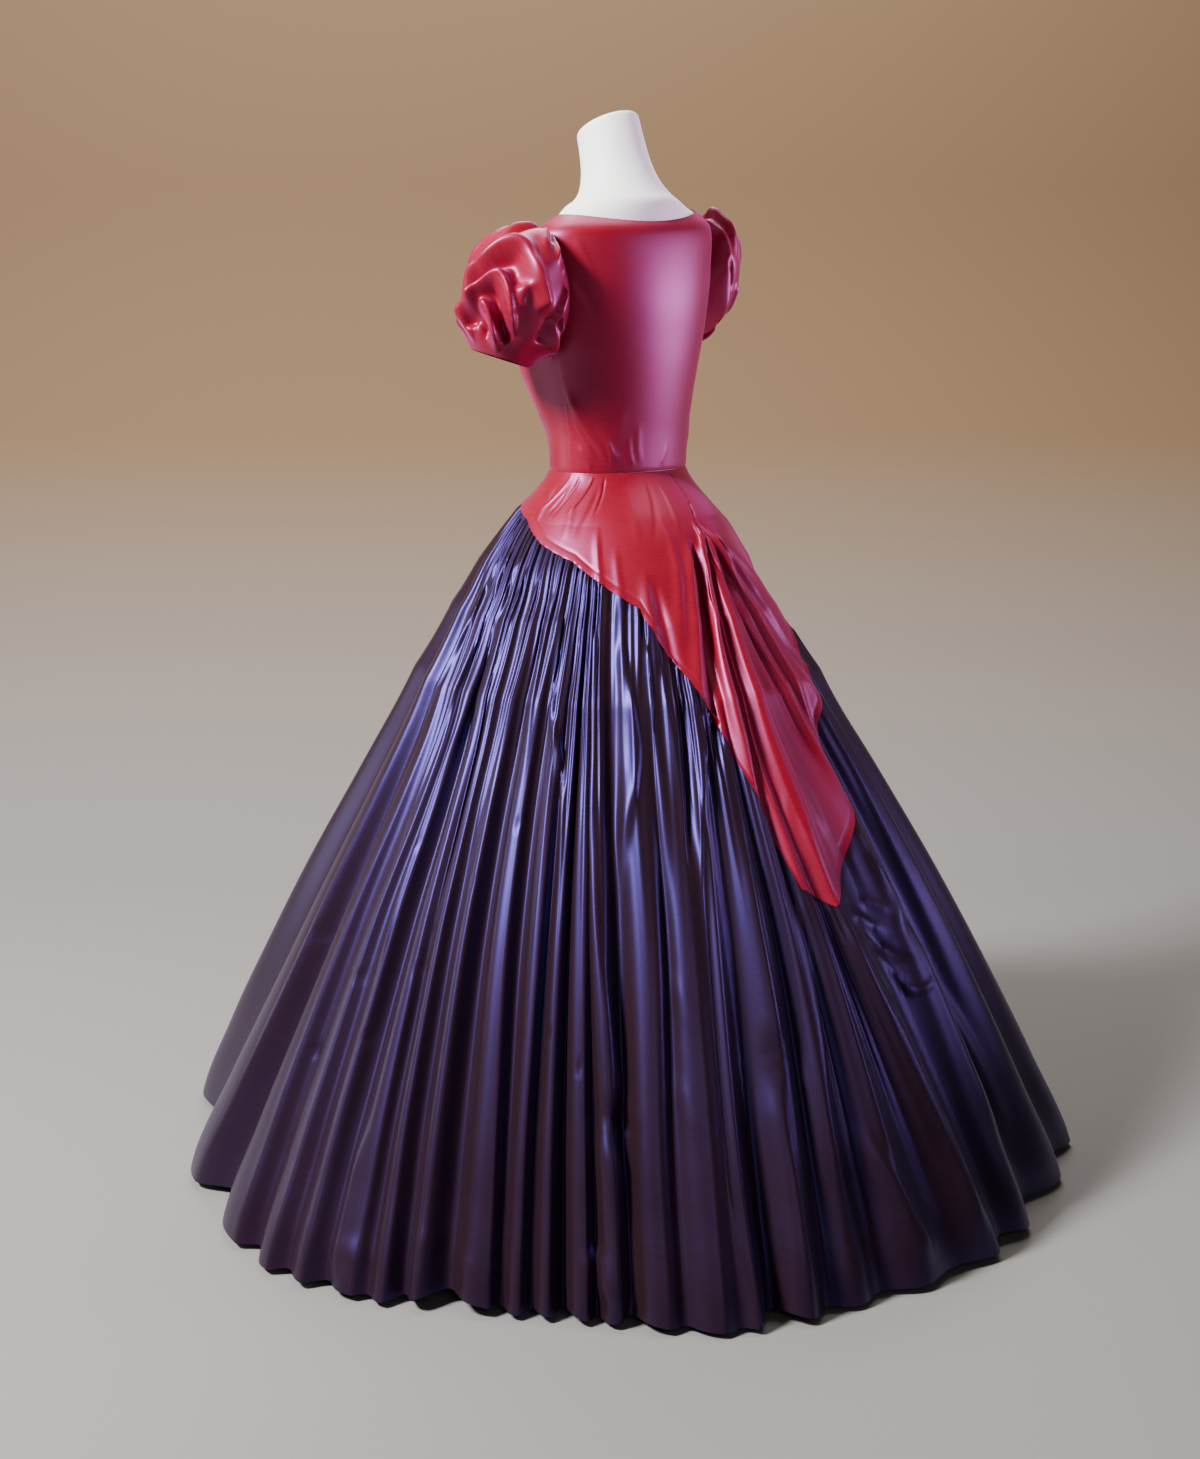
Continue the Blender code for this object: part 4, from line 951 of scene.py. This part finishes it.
# Pleats from the tack and soft folds of the basque, which run on into the skirt: points as bearing and
# height.
PLEATS = (
    (((36.5, 0.968), (34, 0.9), (29, 0.82), (25, 0.735), (21, 0.64)), -16, 8, 9, 0.15, 0.4),
    (((35, 0.962), (29, 0.904), (24.5, 0.815), (20.5, 0.735)), 4.5, 4, 13, 0.15, 0.3),
    (((9, 0.93), (9.3, 0.88), (11, 0.824), (11, 0.77)), 4, 5, 13, 0.3, 0.3),
    (((12, 0.915), (14, 0.86), (15.5, 0.8), (16, 0.74)), -5, 8, 9, 0.3, 0.3),
    (((44, 0.981), (39, 0.93), (36.5, 0.88), (33.5, 0.85), (32, 0.81), (30.6, 0.74), (30.5, 0.66),
      (30, 0.6)), 7, 6, 6, 0.06, 0.3),
    (((43, 0.95), (39, 0.88), (36.5, 0.8), (34.5, 0.72), (34, 0.64), (35, 0.56)), -5, 6, 7, 0.1, 0.3),
    (((46.5, 0.98), (44, 0.91), (41.4, 0.84), (40, 0.768), (39.4, 0.7), (40.4, 0.62), (40, 0.56),
      (40.4, 0.47)), 7, 12, 7, 0.06, 0.25),
    (((50, 0.95), (50.5, 0.88), (51, 0.8), (52, 0.7), (54, 0.6)), -12, 10, 12, 0.15, 0.3),
    (((50, 0.975), (55, 0.908), (59.8, 0.844), (62.5, 0.744), (60, 0.66), (57, 0.59)),
     7.5, 6, 11, 0.06, 0.3),
    (((57, 0.94), (64, 0.87), (69, 0.8), (71, 0.73)), -7, 8, 8, 0.15, 0.3),
    (((54, 0.965), (63, 0.908), (70, 0.84), (75, 0.784), (77.5, 0.715)), 6.5, 6, 8, 0.08, 0.25),
    (((43, 0.66), (44.5, 0.61), (46, 0.555)), 3, 5, 7, 0.3, 0.3),
    (((37.5, 0.63), (37, 0.58), (38, 0.52)), 2.5, 4, 6, 0.3, 0.3),
    (((20, 1), (24, 0.94), (20.5, 0.86), (17, 0.8)), 3, 8, 12, 0.3, 0.4),
    (((-14, 0.985), (-11, 0.94), (-7.5, 0.885)), 2.2, 6, 8, 0.4, 0.2),
    (((-4, 0.96), (-2, 0.915), (0, 0.87)), 1.6, 6, 8, 0.4, 0.2),
    (((-46, 0.99), (-43, 1.006), (-40, 1.026)), -1.4, 4, 6, 0.4, 0.4),
    (((-56, 1.035), (-52, 1.005), (-50, 0.975)), 1.8, 8, 6, 0.3, 0.3),
    (((-34, 1.03), (-30, 0.99), (-28, 0.955)), 1.2, 10, 10, 0.3, 0.3),
    (((-33, 1.047), (-37, 1.02), (-42, 0.985)), -1.6, 4, 6, 0.2, 0.4),
    (((-24, 1.047), (-27, 1.022), (-33, 0.99)), 1.4, 3, 5, 0.2, 0.4),
    (((-40, 1.047), (-47, 1.018), (-53, 0.99)), 1.4, 3, 6, 0.2, 0.4),
    (((-16, 1.046), (-15, 1.02), (-17, 0.99)), -1.2, 4, 5, 0.2, 0.4),
    (((-18, 1.036), (-20, 1), (-24, 0.96)), -1, 8, 8, 0.3, 0.3),
    (((2, 1.04), (6, 0.995), (8, 0.95)), 1, 8, 10, 0.3, 0.3),
    (((24, 1.042), (20, 1), (14, 0.95)), -1, 8, 8, 0.3, 0.3),
    (((36, 1.036), (33, 1), (30, 0.965)), 0.9, 6, 8, 0.3, 0.3),
    (((62, 1.046), (54, 1.014), (46.5, 0.985)), -2, 2.2, 2.2, 0.05, 0.05),
    (((92, 1), (98, 0.94), (100, 0.88)), 3, 10, 12, 0.3, 0.3),
    (((128, 1.01), (132, 0.96), (134, 0.905)), -2.5, 10, 10, 0.3, 0.3),
    (((170, 1.01), (168, 0.97), (165, 0.925)), 2.2, 10, 10, 0.3, 0.3),
    (((214, 1.03), (218, 1), (221, 0.965)), 2, 10, 8, 0.3, 0.3),
    (((252, 1.03), (250, 1.005), (249, 0.985)), 1.8, 8, 8, 0.3, 0.3),
)
CONE_SCALE = (radians(1.0) * 0.26, 1.0)
# The turned edge, the stitching above it and the waist seam: height and half width.
TURNED_EDGE = (0.0010, 0.006)
EDGE_STITCHING = (-0.0008, 0.002)
TURNING = 0.011
BASQUE_WAIST_SEAM = (-0.0008, 0.0025)


def bearing_of(points):
    """The bearing of points, from -90 up to 270."""
    return (np.degrees(np.arctan2(points[..., 1], points[..., 0])) - QUARTER + 90) % 360 - 90


def basque_detail(numbers, heights, points):
    """Pleats, and a turned lower edge that stands a little proud of the skirt's gathers."""
    above = heights - seam_height(numbers[0])[None, :]
    lift = crease_height(bearing_of(points), heights, PLEATS, CONE_SCALE)
    lift += swell(above, *TURNED_EDGE) + swell(above - TURNING, *EDGE_STITCHING)
    return lift + swell(WAIST_HEIGHT - heights, *BASQUE_WAIST_SEAM)


# Where each piece begins and ends in folds, its columns to a fold and rows, and its cut.
BASQUE_SPANS = (
    ("basque_back_left", -0.5, 19.5, 24, 80, (0.45, 0.62), 0.130),
    ("basque_back_right", 19.5, 27.5, 24, 100, (0.38, 0.62), 0.105),
    ("basque_front", 27.5, FOLD_COUNT - 0.5, 16, 24, (0.52, 0.16), 0.040),
)
for node, first, last, columns, rows, flat, area in BASQUE_SPANS:
    piece = skirt_piece(node + "_cloth", first, last, waist_line, basque_edge, columns, rows, basque_detail)
    piece.data.materials.append(red_taffeta)
    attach(piece, "root")
    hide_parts(node)

# SKIRT
# Eight lengths of aubergine shot taffeta, seamed in the troughs of folds. They are gathered to the basque
# and hemmed just off the floor.
SKIRT_PANELS = 8
SEEN_PANELS = 5
SKIRT_ROWS = 120
SEEN_COLUMNS = 24
HIDDEN_COLUMNS = 16
SKIRT_SCALE = (radians(1.0) * 0.45, 1.0)
purple_taffeta = taffeta(
    "purple shot taffeta",
    base=(0.026, 0.010, 0.010, 1.0),
    deep=(0.016, 0.007, 0.008, 1.0),
    tint=(0.16, 0.125, 0.66, 1.0),
    sheen=(0.030, 0.020, 0.13, 1.0),
    roughness=0.36,
    slub_depth=0.00015,
)


def gather_top(numbers):
    return seam_height(numbers) - SEAM_GAP


# Where the hem lifts off the floor: fold number, how far, and over how many folds each way.
HEM_LIFTS = (
    (1.5, 0.006, 0.5), (3.5, 0.004, 0.4), (4.6, 0.003, 0.8), (7.3, 0.014, 0.8), (9.6, 0.004, 0.4),
    (10.6, 0.006, 0.3), (12.6, 0.005, 0.5), (15.6, 0.008, 0.4), (18.4, 0.004, 0.7), (19.6, 0.009, 0.5),
    (21.4, 0.006, 0.4), (23.5, 0.007, 0.5), (26.5, 0.004, 0.6), (28.4, 0.01, 0.5), (31.6, 0.006, 0.7),
    (34.5, 0.009, 0.5), (37.4, 0.005, 0.6), (39.6, 0.008, 0.5),
)


def hem_line(numbers):
    """The hem's height: uneven, as cloth hangs."""
    line = np.full(numbers.shape, HEM_HEIGHT)
    for place, lift, spread in HEM_LIFTS:
        line = line + swell(numbers - place, lift, spread)
    return line


# Small nicks where a fold is pinched: bearing and height of both ends, and lift in millimetres.
NICKS = (
    (-6.8, 0.312, -5.4, 0.304, -2.2), (-11.6, 0.35, -10.4, 0.344, -1.8), (-37.8, 0.338, -36, 0.328, -1.9),
    (-40.6, 0.312, -38.8, 0.304, -1.7), (-51.6, 0.27, -49.4, 0.258, -2.2), (-46, 0.38, -44, 0.372, -1.8),
    (-35, 0.404, -33.4, 0.396, -1.8), (-29, 0.52, -27.6, 0.514, -1.7), (-43.4, 0.56, -41.6, 0.552, -1.7),
    (-22.4, 0.6, -20.8, 0.592, -1.7), (-55, 0.47, -53, 0.462, -1.9), (-66, 0.4, -62.5, 0.384, -2.2),
)
# Ridges, kinks, dents and crumples of the skirt, as for the pleats.
SKIRT_CREASES = (
    (((-6.5, 0.7), (-4.8, 0.51), (-2.8, 0.39), (-1.2, 0.3), (1.1, 0.232)), 6.5, 6, 18, 0.4, 0.12),
    (((-2.6, 0.252), (-0.4, 0.17), (0.5, 0.1), (1, 0.01)), 6.2, 5, 16, 0.22, 0.1),
    (((-4.5, 0.266), (-1, 0.246), (2.5, 0.222)), -2, 12, 5, 0.4, 0.3),
    (((24.5, 0.62), (23.4, 0.504), (23.1, 0.42), (22.8, 0.318)), 5.5, 5, 14, 0.4, 0.14),
    (((22.1, 0.306), (21.3, 0.236), (21.4, 0.156), (21, 0.015)), 5.2, 5, 14, 0.22, 0.3),
    (((20, 0.326), (24.6, 0.298)), -1.6, 9, 5, 0.4, 0.4),
    (((22, 0.762), (17, 0.628), (14.2, 0.508), (13.1, 0.344), (13, 0.184), (14.3, 0.01)),
     6, 5, 12, 0.05, 0.2),
    (((33, 0.5), (30.6, 0.368), (28.3, 0.244), (27.7, 0.08)), 6.5, 6, 14, 0.1, 0.3),
    (((40.5, 0.468), (42, 0.388), (45, 0.288), (46.8, 0.164), (47.5, 0.01)), 7, 5, 12, 0.1, 0.2),
    (((42.6, 0.44), (44.6, 0.36), (47.4, 0.27), (49, 0.17)), 4, 4, 8, 0.1, 0.4),
    (((57.3, 0.456), (57.2, 0.292), (58, 0.176), (63, 0.05)), 6, 7, 14, 0.2, 0.4),
    (((-0.8, 0.84), (3.5, 0.7), (0.5, 0.59), (-1.5, 0.48)), 5, 6, 16, 0.1, 0.4),
    (((6.6, 0.845), (8, 0.74), (8.4, 0.62), (7.6, 0.47)), 6.5, 7, 14, 0.1, 0.5),
    (((11, 0.8), (12.4, 0.7), (11.6, 0.6)), 4, 5, 10, 0.1, 0.5),
    (((16, 0.76), (14.5, 0.64), (12, 0.52)), -6, 8, 8, 0.1, 0.4),
    (((-9, 0.85), (-7.4, 0.74), (-6.2, 0.62), (-5.8, 0.48)), 5, 4, 8, 0.05, 0.5),
    (((-21.5, 0.87), (-19, 0.76), (-13, 0.64), (-11.2, 0.5)), 4.5, 4, 8, 0.05, 0.4),
    (((-26, 0.89), (-24, 0.76), (-22.6, 0.64)), 4, 4, 8, 0.05, 0.5),
    (((-34, 0.915), (-32, 0.78), (-31, 0.62), (-30.5, 0.48)), 4.5, 4, 8, 0.05, 0.4),
    (((-40.5, 0.93), (-39, 0.8), (-36.4, 0.66), (-34.2, 0.5), (-32.5, 0.33)), 5, 4, 8, 0.05, 0.3),
    (((-46.5, 0.94), (-46, 0.82), (-43.6, 0.7), (-42.4, 0.54), (-41.6, 0.36)), 5, 4, 9, 0.05, 0.3),
    (((-55, 0.95), (-51, 0.82), (-48.6, 0.68), (-47.6, 0.5)), 4.5, 4, 9, 0.05, 0.4),
    (((-60, 0.94), (-59, 0.78), (-58, 0.6), (-58.6, 0.42)), 4.5, 5, 10, 0.05, 0.4),
    (((-36, 0.23), (-35.2, 0.12), (-34.6, 0.012)), 6, 7, 12, 0.4, 0.1),
    (((-34.5, 0.08), (-30, 0.036)), 3, 14, 18, 0.4, 0.4),
    (((-25, 0.104), (-22, 0.08)), 1.4, 7, 12, 0.4, 0.4),
    (((-20.5, 0.08), (-17.5, 0.05)), 2, 8, 12, 0.4, 0.4),
    (((-3.5, 0.1), (-2, 0.06), (-1.5, 0.03)), 5, 10, 12, 0.3, 0.3),
    (((7.2, 0.43), (9.8, 0.384), (11.8, 0.34)), 1.1, 9, 14, 0.4, 0.4),
    (((7, 0.31), (9.2, 0.266), (11.2, 0.22)), 1.2, 9, 16, 0.4, 0.4),
    (((42.5, 0.466), (46.5, 0.45), (51.5, 0.422)), 3.6, 3, 6, 0.25, 0.3),
    (((47, 0.474), (50.5, 0.464), (54, 0.446)), 3, 3, 5, 0.3, 0.3),
    (((43.5, 0.446), (47, 0.424), (51, 0.394), (55, 0.384)), -3.2, 5, 4, 0.25, 0.3),
    (((45.5, 0.418), (48.5, 0.386), (52.5, 0.334)), 3.4, 3, 7, 0.25, 0.3),
    (((49, 0.356), (53, 0.346), (57, 0.35)), 2.4, 3, 5, 0.3, 0.3),
    (((54, 0.53), (56, 0.47), (55, 0.42)), 5, 6, 8, 0.2, 0.3),
    (((59, 0.56), (61.5, 0.5), (62.5, 0.42)), 4.5, 6, 9, 0.2, 0.4),
    (((33, 0.22), (36, 0.13), (39, 0.03)), 5.5, 8, 14, 0.3, 0.2),
    (((64, 0.33), (66, 0.2), (66.5, 0.08)), 5, 8, 12, 0.3, 0.3),
    (((96, 0.76), (94, 0.56), (96, 0.36)), 5, 6, 12, 0.2, 0.4),
    (((113, 0.82), (113.5, 0.64), (112, 0.45)), 4.5, 10, 6, 0.1, 0.4),
    (((112, 0.32), (114, 0.304)), -4.5, 6, 6, 0.3, 0.3),
    (((131, 0.86), (131.5, 0.6), (130.5, 0.3)), 5, 6, 10, 0.1, 0.3),
    (((139, 0.2), (140.5, 0.1), (140, 0.012)), 6, 8, 12, 0.3, 0.1),
    (((151, 0.84), (150, 0.64), (150.5, 0.42)), 4.5, 10, 6, 0.1, 0.4),
    (((158, 0.262), (161, 0.244)), -5, 8, 7, 0.3, 0.3),
    (((168, 0.9), (168, 0.68), (167.5, 0.44)), 4.5, 6, 10, 0.1, 0.4),
    (((177, 0.42), (176.5, 0.26), (177.5, 0.1)), 5.5, 10, 6, 0.3, 0.3),
    (((186, 0.9), (185, 0.7), (184.5, 0.5)), 4.5, 8, 6, 0.1, 0.4),
    (((192, 0.36), (194, 0.344)), -4.5, 6, 6, 0.3, 0.3),
    (((203, 0.9), (202.5, 0.64), (202, 0.38)), 5, 6, 10, 0.1, 0.4),
    (((212, 0.24), (211, 0.12), (211.5, 0.012)), 5.5, 8, 10, 0.3, 0.1),
    (((220, 0.92), (219.5, 0.68), (219, 0.46)), 4.5, 10, 6, 0.1, 0.4),
    (((228, 0.4), (230, 0.386)), -4.5, 6, 6, 0.3, 0.3),
    (((237, 0.92), (236.5, 0.68), (236, 0.42)), 5, 6, 10, 0.1, 0.4),
    (((253, 0.9), (247.5, 0.7), (244, 0.48)), 4.5, 10, 6, 0.1, 0.4),
    (((256, 0.3), (255, 0.16), (254.5, 0.012)), 5.5, 8, 10, 0.3, 0.1),
) + tuple((((a, b), (c, d)), depth, 5, 4, 0.4, 0.4) for a, b, c, d, depth in NICKS)
# Fine gathers below the seam, four or so to a fold: no two alike in depth, length or place. Rises and runs
# are in metres, the rest in folds.
GATHER_STEP = 0.235
GATHER_SHIFT = 0.07
GATHER_RISE = (0.0010, 0.0042)
GATHER_RUN = (0.20, 0.85)
RUN_POWER = 1.6
GATHER_WIDTH = (0.035, 0.070)
GATHER_DRIFT = 0.5
PINCH_LENGTH = 0.008
PINCH = 0.25
uneven = np.random.default_rng(11)
places = np.arange(-1.0, FOLD_COUNT + 1.0, GATHER_STEP)
places = places + uneven.uniform(-GATHER_SHIFT, GATHER_SHIFT, places.shape)
rises = uneven.uniform(*GATHER_RISE, places.shape)
runs = uneven.uniform(*GATHER_RUN, places.shape) ** RUN_POWER
widths = uneven.uniform(*GATHER_WIDTH, places.shape)
drifts = uneven.uniform(-GATHER_DRIFT, GATHER_DRIFT, places.shape)
GATHERS = tuple(zip(places, rises, runs, widths, drifts))


def skirt_detail(numbers, heights, points):
    """Gathers, ridges, kinks and dents, and the pleats that run on from the basque."""
    below = seam_height(numbers[0])[None, :] - heights
    bearing = bearing_of(points)
    lift = crease_height(bearing, heights, SKIRT_CREASES, SKIRT_SCALE)
    lift += crease_height(bearing, heights, PLEATS, CONE_SCALE)
    gathers = np.zeros(heights.shape)
    for place, rise, run, width, drift in GATHERS:
        if numbers[0, 0] - 0.5 < place < numbers[0, -1] + 0.5:
            fade = np.clip(1 - below / run, 0, 1)
            gathers += ease(fade) * swell(numbers - place - drift * below, rise, width * (1 + 2 * below))
    return lift + gathers * np.clip(below / PINCH_LENGTH, PINCH, 1)


edges = [round(i * FOLD_COUNT / SKIRT_PANELS) - 0.5 for i in range(SKIRT_PANELS + 1)]
# The cut of each length, a gore wider at the hem: width at the hem, length, and area.
CUTS = (
    (0.84, 1.11, 0.6),
    (0.44, 1.07, 0.277),
    (0.48, 1.03, 0.271),
    (0.6, 0.86, 0.273),
    (0.92, 1, 0.586),
    (0.66, 1.04, 0.414),
    (0.66, 1.08, 0.422),
    (0.68, 1.1, 0.451),
)
for i, (width, length, area) in enumerate(CUTS):
    name = f"skirt_panel_{i + 1}"
    columns = SEEN_COLUMNS if i < SEEN_PANELS else HIDDEN_COLUMNS
    piece = skirt_piece(
        name + "_cloth", edges[i], edges[i + 1], gather_top, hem_line, columns, SKIRT_ROWS, skirt_detail
    )
    piece.data.materials.append(purple_taffeta)
    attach(piece, "root")
    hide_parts(name)
